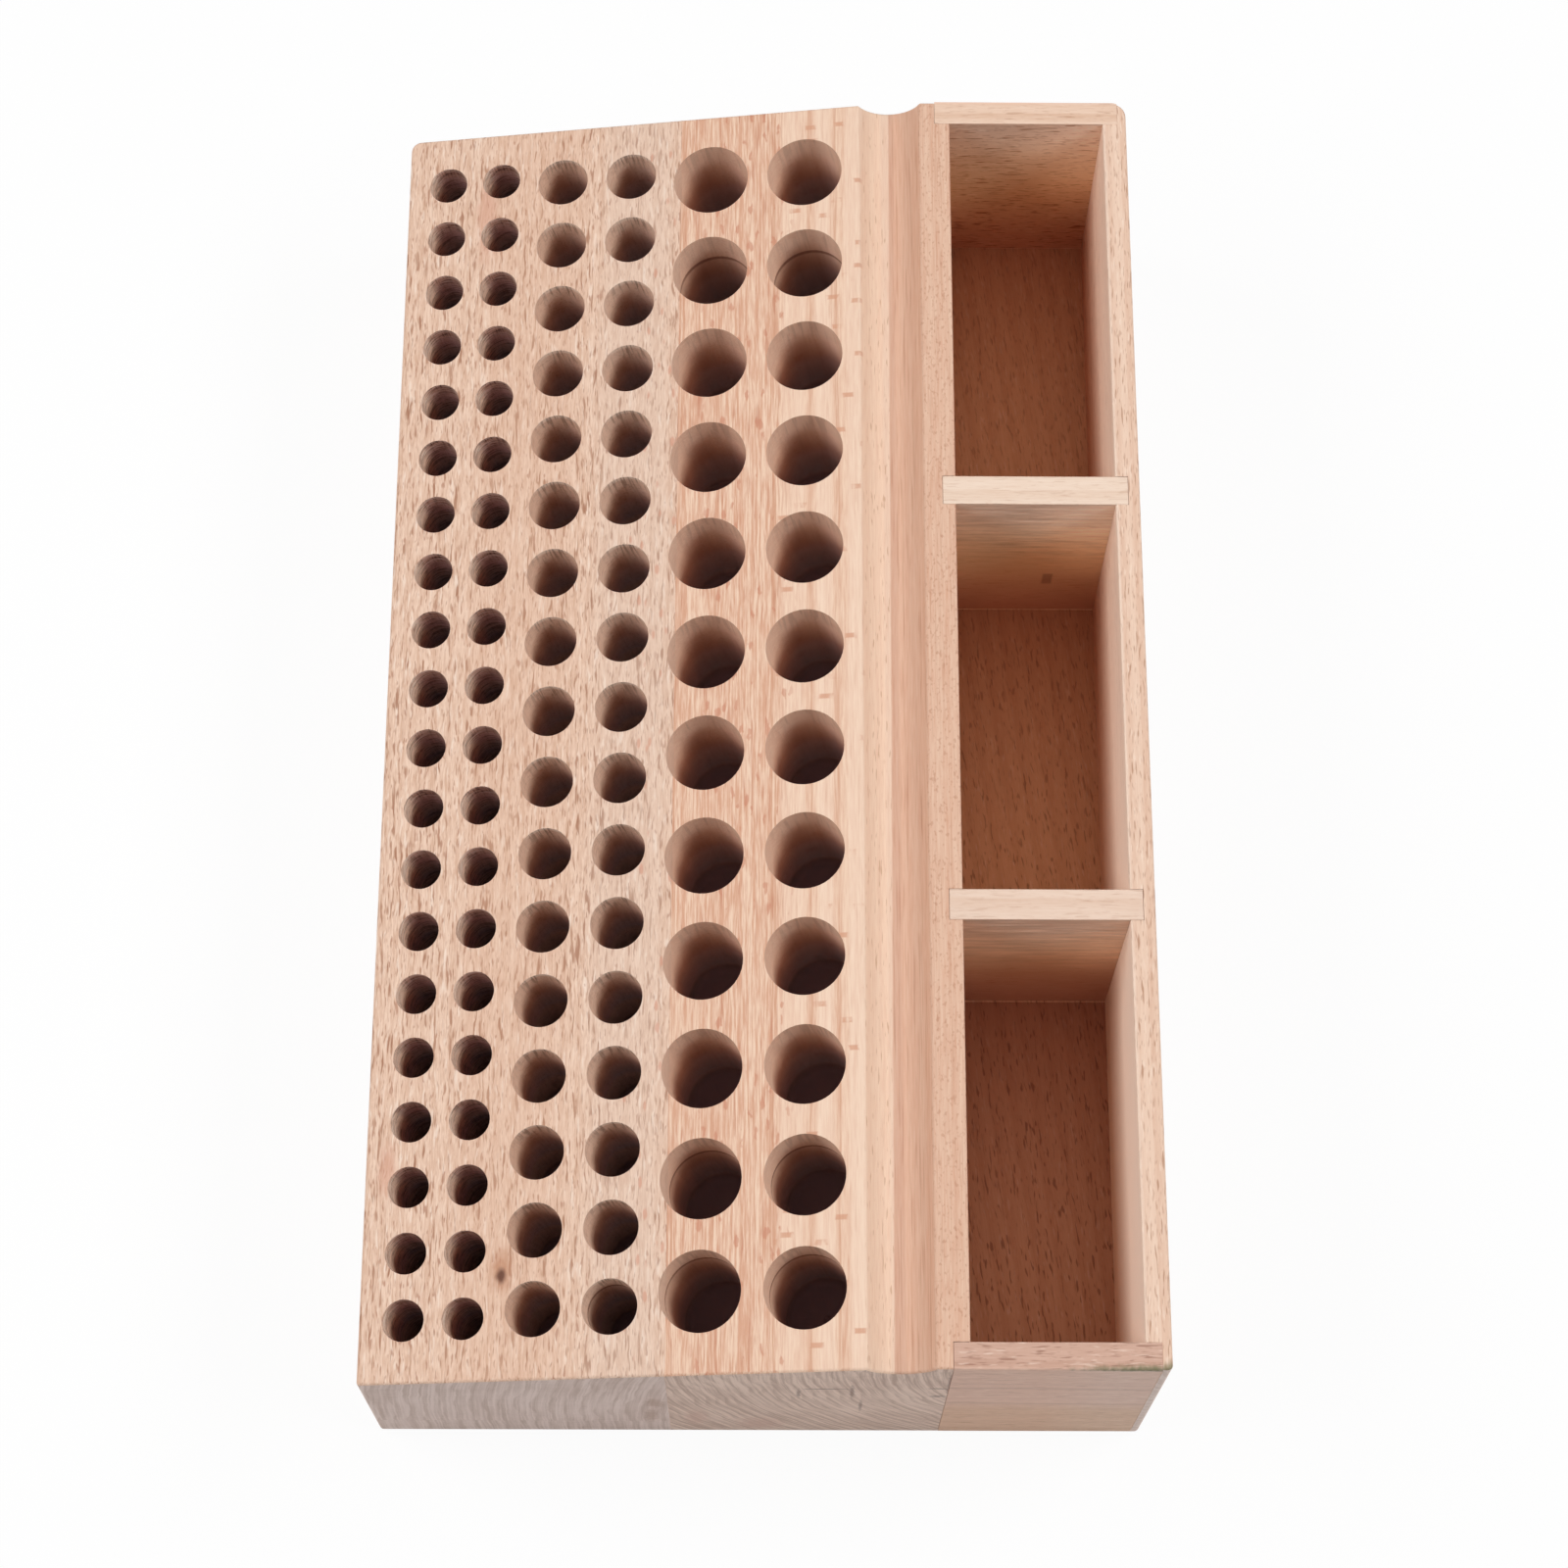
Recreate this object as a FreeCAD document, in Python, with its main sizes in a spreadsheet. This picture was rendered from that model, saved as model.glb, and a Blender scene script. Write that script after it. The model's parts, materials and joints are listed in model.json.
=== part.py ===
import FreeCAD, Part
import math
import os
import re
import Sketcher

# Bench stand for small tools, in beech: a sloped block drilled with six lines of blind holes,
# a round groove along its top, and a low three-compartment tray behind it.
# Millimetres. X runs along the stand, Y from its low front edge to the tray, Z up.
# The origin is in the middle of the footprint, on the surface that the stand rests on.

# Driving dimensions, each kept as one cell of the sheet
VALUES = {
    "body_length": (260, "length of the stand, along X"),
    "body_depth": (147, "depth from the low front edge to the outer wall's face"),
    "top_height": (60.4, "height of the flat top, the tray walls and the dividers"),
    "front_height": (43.7, "height of the low front edge"),
    "slope_run": (99, "level distance over which the top rises to its full height"),
    "block_depth": (111, "depth of the drilled block, up to the tray's inner face"),
    "glue_line": (56.4, "level distance from the front edge to the joint of the two staves"),
    "drilled_reach": (92, "distance along the slope to the end of the drilled zone"),
    "hole_depth": (28, "depth of every hole, square to the slope"),
    "groove_centre": (98.5, "level distance to the middle of the round groove"),
    "groove_radius": (6.8, "radius of the round groove"),
    "groove_floor": (56, "height of the lowest line of the groove"),
    "wall_thickness": (4.8, "outer long wall of the tray"),
    "end_thickness": (5, "end walls of the tray"),
    "divider_thickness": (6, "dividers of the tray"),
    "end_rabbet": (3, "how far an end wall is let into the block and the outer wall"),
    "divider_dado": (2.5, "how far a divider is let into the block and the outer wall"),
    "floor_level": (9.4, "height of the tray floor's upper face"),
    "floor_thickness": (5, "thickness of the tray floor"),
    "floor_groove": (2, "how far the floor is let into what surrounds it"),
    "far_wall_corner": (3, "rounding of the tray's upright corner at the far end"),
    "near_wall_corner": (1, "rounding of the tray's upright corner at the near end"),
    "far_block_corner": (2, "rounding of the block's upright front corner at the far end"),
    "near_block_corner": (0.8, "rounding of the block's upright front corner at the near end"),
    "row_shift": (-0.3, "shift of all the holes towards the far end"),
    "small_diameter": (7.8, "holes of the first and second line"),
    "small_pitch": (12.48, "distance between small holes"),
    "small_count": (20, "small holes in a line"),
    "medium_diameter": (10.3, "holes of the third and fourth line"),
    "medium_pitch": (14.65, "distance between medium holes"),
    "medium_count": (17, "medium holes in a line"),
    "large_diameter": (15.2, "holes of the fifth and sixth line"),
    "large_pitch": (20.9, "distance between large holes"),
    "large_count": (12, "large holes in a line"),
    "line_one": (8.3, "distance along the slope to the first line of holes"),
    "line_two": (19.5, "to the second line"),
    "line_three": (32.5, "to the third line"),
    "line_four": (46.8, "to the fourth line"),
    "line_five": (63.4, "to the fifth line"),
    "line_six": (82.7, "to the sixth line"),
}

# Values that follow from the sheet, as formulas in its own words
FRONT = "(-body_depth / 2)"
RISE = "((top_height - front_height) / slope_run)"
SLANT = "sqrt(1 + ((top_height - front_height) / slope_run) ^ 2)"
SLOPE_ANGLE = f"atan{RISE}"
GLUE = f"({FRONT} + glue_line)"
TRAY = f"({FRONT} + block_depth)"
WALL = "(body_depth / 2 - wall_thickness)"
HALF_LENGTH = "(body_length / 2)"
INNER_HALF = "(body_length / 2 - end_thickness)"
DIVIDER_CENTRE = "((body_length - 2 * end_thickness + divider_thickness) / 6)"
UNDERSIDE = "(floor_level - floor_thickness)"

TOLERANCE = 1e-6
HOLE_SIZES = {
    "small": ("line_one", "line_two"),
    "medium": ("line_three", "line_four"),
    "large": ("line_five", "line_six"),
}

doc = FreeCAD.newDocument("tool_holder_stand")
sheet = doc.addObject("Spreadsheet::Sheet", "Dimensions")
for line, (alias, (value, note)) in enumerate(VALUES.items(), 1):
    sheet.set(f"A{line}", alias)
    sheet.set(f"B{line}", str(value))
    sheet.setAlias(f"B{line}", alias)
    sheet.set(f"C{line}", note)
doc.recompute()


def formula(text):
    """The same formula with each alias turned into a reference to its cell."""
    return re.sub(
        r"[a-z_]+",
        lambda word: f"Dimensions.{word[0]}" if word[0] in VALUES else word[0],
        text,
    )


def number(text):
    """What a formula comes to, as a plain number."""
    result = sheet.evalExpression(formula(text))
    return float(getattr(result, "Value", result))


def along_slope(distance, depth="0"):
    """Y and Z of a point at a distance along the slope and a depth square to it."""
    y = f"({FRONT} + ({distance} + {depth} * {RISE}) / {SLANT})"
    z = f"(front_height + ({distance} * {RISE} - {depth}) / {SLANT})"
    return y, z


def on_slope(y, depth="0"):
    """Height of the slope above a place Y, or of the plane that lies a depth below it."""
    return f"(front_height + ({y} - {FRONT}) * {RISE} - {depth} * {SLANT})"


def new_body(label):
    body = doc.addObject("PartDesign::Body", label)
    body.Label = label
    body.Placement = FreeCAD.Placement()
    return body


def new_sketch(body, name, role):
    """A sketch on the origin plane that has this role."""
    plane = next(item for item in body.Origin.OriginFeatures if item.Role == role)
    sketch = body.newObject("Sketcher::SketchObject", f"{body.Name}_{name}")
    sketch.AttachmentSupport = [(plane, "")]
    sketch.MapMode = "FlatFace"
    return sketch


def pin(sketch, geometry, point, across, up):
    """Ties a point of the sketch to two formulas, measured from the sketch's origin."""
    for kind, text in (("DistanceX", across), ("DistanceY", up)):
        index = sketch.addConstraint(
            Sketcher.Constraint(kind, -1, 1, geometry, point, number(text))
        )
        sketch.setExpression(f"Constraints[{index}]", formula(text))


def outline(sketch, corners):
    """A closed outline of straight lines whose corners are pairs of formulas."""
    points = [FreeCAD.Vector(number(across), number(up), 0) for across, up in corners]
    sides = [
        sketch.addGeometry(Part.LineSegment(start, end), False)
        for start, end in zip(points, points[1:] + points[:1])
    ]
    for before, side, (across, up) in zip(sides[-1:] + sides, sides, corners):
        sketch.addConstraint(Sketcher.Constraint("Coincident", before, 2, side, 1))
        pin(sketch, side, 1, across, up)


def rectangle(sketch, low, high):
    (left, bottom), (right, top) = low, high
    outline(sketch, [(left, bottom), (right, bottom), (right, top), (left, top)])


def circle(sketch, across, up, diameter):
    centre = FreeCAD.Vector(number(across), number(up), 0)
    ring = Part.Circle(centre, FreeCAD.Vector(0, 0, 1), number(diameter) / 2)
    place = sketch.addGeometry(ring, False)
    pin(sketch, place, 3, across, up)
    index = sketch.addConstraint(Sketcher.Constraint("Diameter", place, number(diameter)))
    sketch.setExpression(f"Constraints[{index}]", formula(diameter))


def pad(body, sketch, length, symmetric=False):
    feature = body.newObject("PartDesign::Pad", f"{sketch.Name}_pad")
    feature.Profile = sketch
    feature.SideType = "Symmetric" if symmetric else "One side"
    feature.setExpression("Length", formula(length))
    return feature


def pocket(body, sketch, length=None, symmetric=False, reverse=False):
    """A cut from the sketch's plane, right through where no length is given."""
    feature = body.newObject("PartDesign::Pocket", f"{sketch.Name}_pocket")
    feature.Profile = sketch
    feature.SideType = "Symmetric" if symmetric else "One side"
    feature.Reversed = reverse
    if length:
        feature.setExpression("Length", formula(length))
    else:
        feature.Type = "ThroughAll"
    return feature


def removed(body, work, least):
    """Does a step of work on the body and makes sure that it took material away."""
    doc.recompute()
    before = body.Shape.Volume
    result = work()
    doc.recompute()
    if before - body.Shape.Volume < least:
        raise RuntimeError(f"{body.Label}: {result.Name} cut nothing")
    return result


def drill(body, size, lines):
    """One hole for each line of this size, square to the slope, then repeated along the stand."""
    first = f"(row_shift - ({size}_count - 1) * {size}_pitch / 2)"
    sketch = new_sketch(body, f"{size}_holes", "XY_Plane")
    sketch.AttachmentOffset = FreeCAD.Placement(
        FreeCAD.Vector(0, number(FRONT), number("front_height")),
        FreeCAD.Rotation(FreeCAD.Vector(1, 0, 0), number(SLOPE_ANGLE)),
    )
    sketch.setExpression(".AttachmentOffset.Base.y", formula(FRONT))
    sketch.setExpression(".AttachmentOffset.Base.z", formula("front_height"))
    sketch.setExpression(".AttachmentOffset.Rotation.Angle", formula(SLOPE_ANGLE))
    for line in lines:
        circle(sketch, first, line, f"{size}_diameter")
    hole = removed(body, lambda: pocket(body, sketch), 1)

    def repeat():
        pattern = body.newObject("PartDesign::LinearPattern", f"{sketch.Name}_pattern")
        pattern.Originals = [hole]
        pattern.Direction = (sketch, ["H_Axis"])
        pattern.setExpression("Length", formula(f"({size}_count - 1) * {size}_pitch"))
        pattern.setExpression("Occurrences", formula(f"{size}_count"))
        body.Tip = pattern
        return pattern

    removed(body, repeat, 1)


def round_corner(body, side, y, radius):
    """Rounds the upright corner of the body that stands at this Y, at one of its two ends."""
    doc.recompute()
    corners = []
    for index, edge in enumerate(body.Shape.Edges, 1):
        box = edge.BoundBox
        upright = box.ZLength > TOLERANCE and max(box.XLength, box.YLength) < TOLERANCE
        at_end = abs(box.Center.x - side * number(HALF_LENGTH)) < TOLERANCE
        if upright and at_end and abs(box.Center.y - number(y)) < TOLERANCE:
            corners.append(f"Edge{index}")
    solid = body.Tip
    feature = body.newObject("PartDesign::Fillet", f"{body.Name}_{radius}")
    feature.Base = (solid, corners)
    feature.setExpression("Radius", formula(radius))


def round_front_corners(body):
    round_corner(body, 1, FRONT, "near_block_corner")
    round_corner(body, -1, FRONT, "far_block_corner")


def long_stave(label, corners):
    """A stave of the block: its cross-section, seen from the end, carried along the stand."""
    body = new_body(label)
    sketch = new_sketch(body, "section", "YZ_Plane")
    outline(sketch, corners)
    pad(body, sketch, "body_length", symmetric=True)
    return body


# Front stave, drilled zone: the upper part of the front stave, as deep as its holes
def front_stave():
    body = long_stave(
        "front_stave",
        [
            (FRONT, on_slope(FRONT, "hole_depth")),
            (GLUE, on_slope(GLUE, "hole_depth")),
            (GLUE, on_slope(GLUE)),
            (FRONT, on_slope(FRONT)),
        ],
    )
    round_front_corners(body)
    drill(body, "small", HOLE_SIZES["small"])
    drill(body, "medium", HOLE_SIZES["medium"])
    # The fifth line's holes break into this stave across the glue line
    drill(body, "large", HOLE_SIZES["large"][:1])
    return body


# Front stave, solid wood under the holes
def front_stave_base():
    body = long_stave(
        "front_stave_base",
        [
            (FRONT, "0"),
            (GLUE, "0"),
            (GLUE, on_slope(GLUE, "hole_depth")),
            (FRONT, on_slope(FRONT, "hole_depth")),
        ],
    )
    round_front_corners(body)
    return body


# Rear stave, drilled zone: from the glue line to just short of the groove
def rear_stave():
    body = long_stave(
        "rear_stave",
        [
            (GLUE, on_slope(GLUE, "hole_depth")),
            along_slope("drilled_reach", "hole_depth"),
            along_slope("drilled_reach"),
            (GLUE, on_slope(GLUE)),
        ],
    )
    drill(body, "large", HOLE_SIZES["large"])
    return body


# Rear stave, solid wood: under the holes, the grooved land, and the joints of the tray
def rear_stave_base():
    body = long_stave(
        "rear_stave_base",
        [
            (GLUE, "0"),
            (TRAY, "0"),
            (TRAY, "top_height"),
            (f"({FRONT} + slope_run)", "top_height"),
            along_slope("drilled_reach"),
            along_slope("drilled_reach", "hole_depth"),
            (GLUE, on_slope(GLUE, "hole_depth")),
        ],
    )
    groove = new_sketch(body, "groove", "YZ_Plane")
    circle(groove, f"({FRONT} + groove_centre)", "(groove_floor + groove_radius)", "(2 * groove_radius)")
    removed(body, lambda: pocket(body, groove, "2 * body_length", symmetric=True), 1)

    rabbets = new_sketch(body, "end_rabbets", "XY_Plane")
    for low, high in ((f"(-{HALF_LENGTH})", f"(-{INNER_HALF})"), (INNER_HALF, HALF_LENGTH)):
        rectangle(rabbets, (low, f"({TRAY} - end_rabbet)"), (high, TRAY))
    removed(body, lambda: pocket(body, rabbets, reverse=True), 1)

    cut_tray_joints(body, f"({TRAY} - divider_dado)", TRAY, f"({TRAY} - floor_groove)", TRAY)
    return body


def cut_tray_joints(body, dado_low, dado_high, groove_low, groove_high):
    """Upright dados for the two dividers, and the long groove that holds the tray floor."""
    dados = new_sketch(body, "divider_dados", "XY_Plane")
    dados.AttachmentOffset = FreeCAD.Placement(
        FreeCAD.Vector(0, 0, number("floor_level")), FreeCAD.Rotation()
    )
    dados.setExpression(".AttachmentOffset.Base.z", formula("floor_level"))
    for side in (-1, 1):
        middle = f"({side} * {DIVIDER_CENTRE})"
        rectangle(
            dados,
            (f"({middle} - divider_thickness / 2)", dado_low),
            (f"({middle} + divider_thickness / 2)", dado_high),
        )
    removed(body, lambda: pocket(body, dados, reverse=True), 1)

    groove = new_sketch(body, "floor_groove", "XY_Plane")
    groove.AttachmentOffset = FreeCAD.Placement(
        FreeCAD.Vector(0, 0, number(UNDERSIDE)), FreeCAD.Rotation()
    )
    groove.setExpression(".AttachmentOffset.Base.z", formula(UNDERSIDE))
    reach = f"({INNER_HALF} + floor_groove)"
    rectangle(groove, (f"(-{reach})", groove_low), (reach, groove_high))
    removed(body, lambda: pocket(body, groove, "floor_thickness", reverse=True), 1)


def round_tray_corners(body, sides):
    """Cuts the tray's rounded upright corners out of one of its walls."""
    waste = new_sketch(body, "corner_waste", "XY_Plane")
    for side in sides:
        radius = "near_wall_corner" if side > 0 else "far_wall_corner"
        end = f"({side} * {HALF_LENGTH})"
        middle = f"({side} * ({HALF_LENGTH} - {radius}))"
        beyond = f"({side} * ({HALF_LENGTH} + {radius}))"
        centre = f"(body_depth / 2 - {radius})"
        face = "(body_depth / 2)"
        past = f"(body_depth / 2 + {radius})"
        corners = [(end, centre), (beyond, centre), (beyond, past), (middle, past), (middle, face)]
        points = [FreeCAD.Vector(number(across), number(up), 0) for across, up in corners]
        sides_drawn = [
            waste.addGeometry(Part.LineSegment(start, stop), False)
            for start, stop in zip(points, points[1:])
        ]
        for line, (across, up) in zip(sides_drawn, corners):
            pin(waste, line, 1, across, up)
        for before, line in zip(sides_drawn, sides_drawn[1:]):
            waste.addConstraint(Sketcher.Constraint("Coincident", before, 2, line, 1))
        pin(waste, sides_drawn[-1], 2, *corners[-1])

        middle_point = FreeCAD.Vector(number(middle), number(centre), 0)
        ring = Part.Circle(middle_point, FreeCAD.Vector(0, 0, 1), number(radius))
        start, stop = (0, math.pi / 2) if side > 0 else (math.pi / 2, math.pi)
        arc = waste.addGeometry(Part.ArcOfCircle(ring, start, stop), False)
        ends = (1, 2) if side > 0 else (2, 1)
        waste.addConstraint(Sketcher.Constraint("Coincident", arc, ends[0], sides_drawn[0], 1))
        waste.addConstraint(Sketcher.Constraint("Coincident", arc, ends[1], sides_drawn[-1], 2))
        index = waste.addConstraint(
            Sketcher.Constraint("DistanceX", -1, 1, arc, 3, number(middle))
        )
        waste.setExpression(f"Constraints[{index}]", formula(middle))
    removed(body, lambda: pocket(body, waste, reverse=True), 1)


# Outer long wall of the tray
def outer_wall():
    body = new_body("outer_wall")
    plan = new_sketch(body, "plan", "XY_Plane")
    rectangle(plan, (f"(-{HALF_LENGTH})", WALL), (HALF_LENGTH, "(body_depth / 2)"))
    pad(body, plan, "top_height")

    rabbets = new_sketch(body, "end_rabbets", "XY_Plane")
    for low, high in ((f"(-{HALF_LENGTH})", f"(-{INNER_HALF})"), (INNER_HALF, HALF_LENGTH)):
        rectangle(rabbets, (low, WALL), (high, f"({WALL} + end_rabbet)"))
    removed(body, lambda: pocket(body, rabbets, reverse=True), 1)

    cut_tray_joints(body, WALL, f"({WALL} + divider_dado)", WALL, f"({WALL} + floor_groove)")
    round_tray_corners(body, (-1, 1))
    return body


# End walls of the tray
def end_wall(label, side):
    body = new_body(label)
    plan = new_sketch(body, "plan", "XY_Plane")
    inner = f"({side} * {INNER_HALF})"
    outer = f"({side} * {HALF_LENGTH})"
    low, high = (inner, outer) if side > 0 else (outer, inner)
    rectangle(plan, (low, f"({TRAY} - end_rabbet)"), (high, f"({WALL} + end_rabbet)"))
    pad(body, plan, "top_height")

    groove = new_sketch(body, "floor_groove", "XY_Plane")
    groove.AttachmentOffset = FreeCAD.Placement(
        FreeCAD.Vector(0, 0, number(UNDERSIDE)), FreeCAD.Rotation()
    )
    groove.setExpression(".AttachmentOffset.Base.z", formula(UNDERSIDE))
    bottom = f"({side} * ({INNER_HALF} + floor_groove))"
    low, high = (inner, bottom) if side > 0 else (bottom, inner)
    rectangle(
        groove,
        (low, f"({TRAY} - floor_groove)"),
        (high, f"({WALL} + floor_groove)"),
    )
    removed(body, lambda: pocket(body, groove, "floor_thickness", reverse=True), 1)
    # The far end's wide corner is shared with the outer wall, the near one is all in that wall
    if side < 0:
        round_tray_corners(body, (side,))
    return body


# Dividers of the tray
def divider(label, side):
    body = new_body(label)
    plan = new_sketch(body, "plan", "XY_Plane")
    plan.AttachmentOffset = FreeCAD.Placement(
        FreeCAD.Vector(0, 0, number("floor_level")), FreeCAD.Rotation()
    )
    plan.setExpression(".AttachmentOffset.Base.z", formula("floor_level"))
    middle = f"({side} * {DIVIDER_CENTRE})"
    rectangle(
        plan,
        (f"({middle} - divider_thickness / 2)", f"({TRAY} - divider_dado)"),
        (f"({middle} + divider_thickness / 2)", f"({WALL} + divider_dado)"),
    )
    pad(body, plan, "top_height - floor_level")
    return body


# Floor of the tray, let into the block and the three walls
def tray_floor():
    body = new_body("tray_floor")
    plan = new_sketch(body, "plan", "XY_Plane")
    plan.AttachmentOffset = FreeCAD.Placement(
        FreeCAD.Vector(0, 0, number(UNDERSIDE)), FreeCAD.Rotation()
    )
    plan.setExpression(".AttachmentOffset.Base.z", formula(UNDERSIDE))
    reach = f"({INNER_HALF} + floor_groove)"
    rectangle(
        plan,
        (f"(-{reach})", f"({TRAY} - floor_groove)"),
        (reach, f"({WALL} + floor_groove)"),
    )
    pad(body, plan, "floor_thickness")
    return body


def check_and_export(bodies):
    doc.recompute()
    for item in doc.Objects:
        if "Invalid" in item.State or "Error" in item.State:
            raise RuntimeError(f"{item.Name} did not compute: {item.State}")
    os.makedirs("parts", exist_ok=True)
    for body in bodies:
        shape = body.Shape
        if shape.isNull() or not shape.isValid() or len(shape.Solids) != 1:
            raise RuntimeError(f"{body.Label} is not one valid solid")
        box = shape.BoundBox
        print(
            f"{body.Label}: {shape.Volume / 1000:.1f} cm3,"
            f" {box.XLength:.1f} x {box.YLength:.1f} x {box.ZLength:.1f} mm"
        )
        shape.exportStep(f"parts/{body.Label}.step")


check_and_export(
    [
        front_stave(),
        front_stave_base(),
        rear_stave(),
        rear_stave_base(),
        outer_wall(),
        end_wall("near_end_wall", 1),
        end_wall("far_end_wall", -1),
        divider("near_divider", 1),
        divider("far_divider", -1),
        tray_floor(),
    ]
)
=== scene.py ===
# %% [markdown]
# A bench stand for small tools, in bare beech. A block with a sloped top is drilled with six lines of
# blind holes, a round groove runs behind them, and an open tray with three compartments stands at the
# back. Everything is glued wood, so the work here is in two things: crisp joiner's shapes with softened
# edges, and wood that looks like beech from every side.
#
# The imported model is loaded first. It says where each piece is, so nothing below is fitted by eye.

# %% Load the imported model
import bmesh
import bpy
import json
import math
from mathutils import Matrix, Vector


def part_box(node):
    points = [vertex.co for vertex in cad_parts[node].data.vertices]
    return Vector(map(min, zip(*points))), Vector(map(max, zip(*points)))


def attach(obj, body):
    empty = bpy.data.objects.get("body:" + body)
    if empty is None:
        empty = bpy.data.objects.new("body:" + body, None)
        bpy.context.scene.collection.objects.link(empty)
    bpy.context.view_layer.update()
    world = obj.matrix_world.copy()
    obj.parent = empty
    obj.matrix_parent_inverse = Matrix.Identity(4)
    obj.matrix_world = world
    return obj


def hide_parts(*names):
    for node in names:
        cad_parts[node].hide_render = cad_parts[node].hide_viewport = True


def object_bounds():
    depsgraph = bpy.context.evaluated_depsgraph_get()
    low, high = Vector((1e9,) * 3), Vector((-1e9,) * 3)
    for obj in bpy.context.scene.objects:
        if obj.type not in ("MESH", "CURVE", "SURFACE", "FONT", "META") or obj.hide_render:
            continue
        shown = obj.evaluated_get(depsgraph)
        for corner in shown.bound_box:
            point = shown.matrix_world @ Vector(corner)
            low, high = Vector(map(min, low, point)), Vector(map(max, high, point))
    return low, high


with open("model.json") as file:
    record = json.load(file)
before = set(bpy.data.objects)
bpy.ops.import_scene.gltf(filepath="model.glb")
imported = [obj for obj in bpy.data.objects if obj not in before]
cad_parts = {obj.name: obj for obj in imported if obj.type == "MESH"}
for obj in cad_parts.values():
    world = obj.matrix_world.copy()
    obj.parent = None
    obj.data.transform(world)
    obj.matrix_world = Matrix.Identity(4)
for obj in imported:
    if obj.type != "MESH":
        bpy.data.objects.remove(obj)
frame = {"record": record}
cad_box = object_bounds()
MM = 0.001

BODY = "root"
HALF_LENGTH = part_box("rear_stave_base")[1].x
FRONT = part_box("front_stave_base")[0].y
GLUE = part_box("front_stave_base")[1].y
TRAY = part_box("rear_stave_base")[1].y
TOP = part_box("rear_stave_base")[1].z
ALONG_X = Vector((1, 0, 0))
ALONG_Y = Vector((0, 1, 0))
print("stand:", [round(side / MM, 1) for side in Vector(cad_box[1]) - Vector(cad_box[0])], "mm")

# %% [markdown]
# The picture was taken from above the near end of the stand, tipped about twenty degrees from straight
# down. A long lens keeps the perspective mild. The camera's place and turn come from matching the rims
# of all the holes to the photograph, so they are simply written down here.

# %% Camera
CAMERA_PLACE = (0.252592, -0.000148, 0.678064)
CAMERA_TURN = (20.72575, -0.42800, 90.09038)
LENS = 80.278
SENSOR = 36.0

camera_data = bpy.data.cameras.new("camera")
camera_data.lens = LENS
camera_data.sensor_width = SENSOR
camera = bpy.data.objects.new("camera", camera_data)
camera.location = CAMERA_PLACE
camera.rotation_euler = [math.radians(angle) for angle in CAMERA_TURN]
bpy.context.scene.collection.objects.link(camera)
bpy.context.scene.camera = camera
print("camera lens", LENS, "mm")

# %% [markdown]
# A stave is a plain prism: its outline seen from the end, carried along the stand. In the edit that
# follows, every sharp edge is marked with the width of its softened arris, as a share of the widest
# one. A Bevel modifier then reads those marks, so that arrises of different widths meet cleanly.

# %% Helpers for blanks
ARRIS = 0.7 * MM
ARRIS_STEPS = 3
SHARP = math.radians(35)
LONG_GRAIN, END_GRAIN, CUT_WOOD = range(3)


def extruded(edit, face, way):
    """Carries a face along a vector and closes the solid behind it."""
    grown = bmesh.ops.extrude_face_region(edit, geom=[face])["geom"]
    moved = [item for item in grown if isinstance(item, bmesh.types.BMVert)]
    bmesh.ops.translate(edit, verts=moved, vec=way)
    bmesh.ops.recalc_face_normals(edit, faces=edit.faces[:])


def outline_face(edit, points):
    """One face through a list of points."""
    corners = [edit.verts.new(point) for point in points]
    return edit.faces.new(corners)


def mark_arrises(edit, width_of):
    """Gives each sharp edge the arris width that width_of names for its middle."""
    share = edit.edges.layers.float.new("bevel_weight_edge")
    for edge in edit.edges:
        if edge.calc_face_angle(0) > SHARP:
            middle = (edge.verts[0].co + edge.verts[1].co) / 2
            edge[share] = width_of(middle) / ARRIS


def solid_object(edit, name):
    """A bmesh as an object with three places for materials."""
    mesh = bpy.data.meshes.new(name)
    edit.to_mesh(mesh)
    edit.free()
    for _ in (LONG_GRAIN, END_GRAIN, CUT_WOOD):
        mesh.materials.append(None)
    made = bpy.data.objects.new(name, mesh)
    bpy.context.scene.collection.objects.link(made)
    return made


def blank(edit, name):
    """A solid whose marked edges get their arrises."""
    piece = solid_object(edit, name)
    soften = piece.modifiers.new("arrises", "BEVEL")
    soften.limit_method = "WEIGHT"
    soften.width = ARRIS
    soften.segments = ARRIS_STEPS
    soften.material = -1
    return piece


# %% [markdown]
# The front stave of the block is the low one. Its two upright front corners are rounded before the
# arrises are marked. Where it is glued to the rear stave the edge stays almost sharp: only a hair line
# shows between them on the real stand.

# %% Front stave
GLUE_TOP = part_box("front_stave")[1].z
HOLE_AXIS = Vector(frame["record"]["mounts"][1]["axis"])
SLOPE = math.atan2(-HOLE_AXIS.y, HOLE_AXIS.z)
FRONT_TOP = GLUE_TOP - (GLUE - FRONT) * math.tan(SLOPE)
FAR_CORNER = 2 * MM
NEAR_CORNER = 0.8 * MM
CORNER_STEPS = 6
HAIR = 0.06 * MM


def on_plane(value, plane):
    return abs(value - plane) < 0.01 * MM


def front_arris(middle):
    return HAIR if on_plane(middle.y, GLUE) else ARRIS


def round_corner(edit, end, radius):
    """Rounds the upright front edge at one end of the stave."""
    corners = []
    for edge in edit.edges:
        if all(on_plane(vert.co.x, end) and on_plane(vert.co.y, FRONT) for vert in edge.verts):
            corners.append(edge)
    shape = {"offset": radius, "segments": CORNER_STEPS, "profile": 0.5, "material": -1}
    bmesh.ops.bevel(edit, geom=corners, affect="EDGES", **shape)


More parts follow.
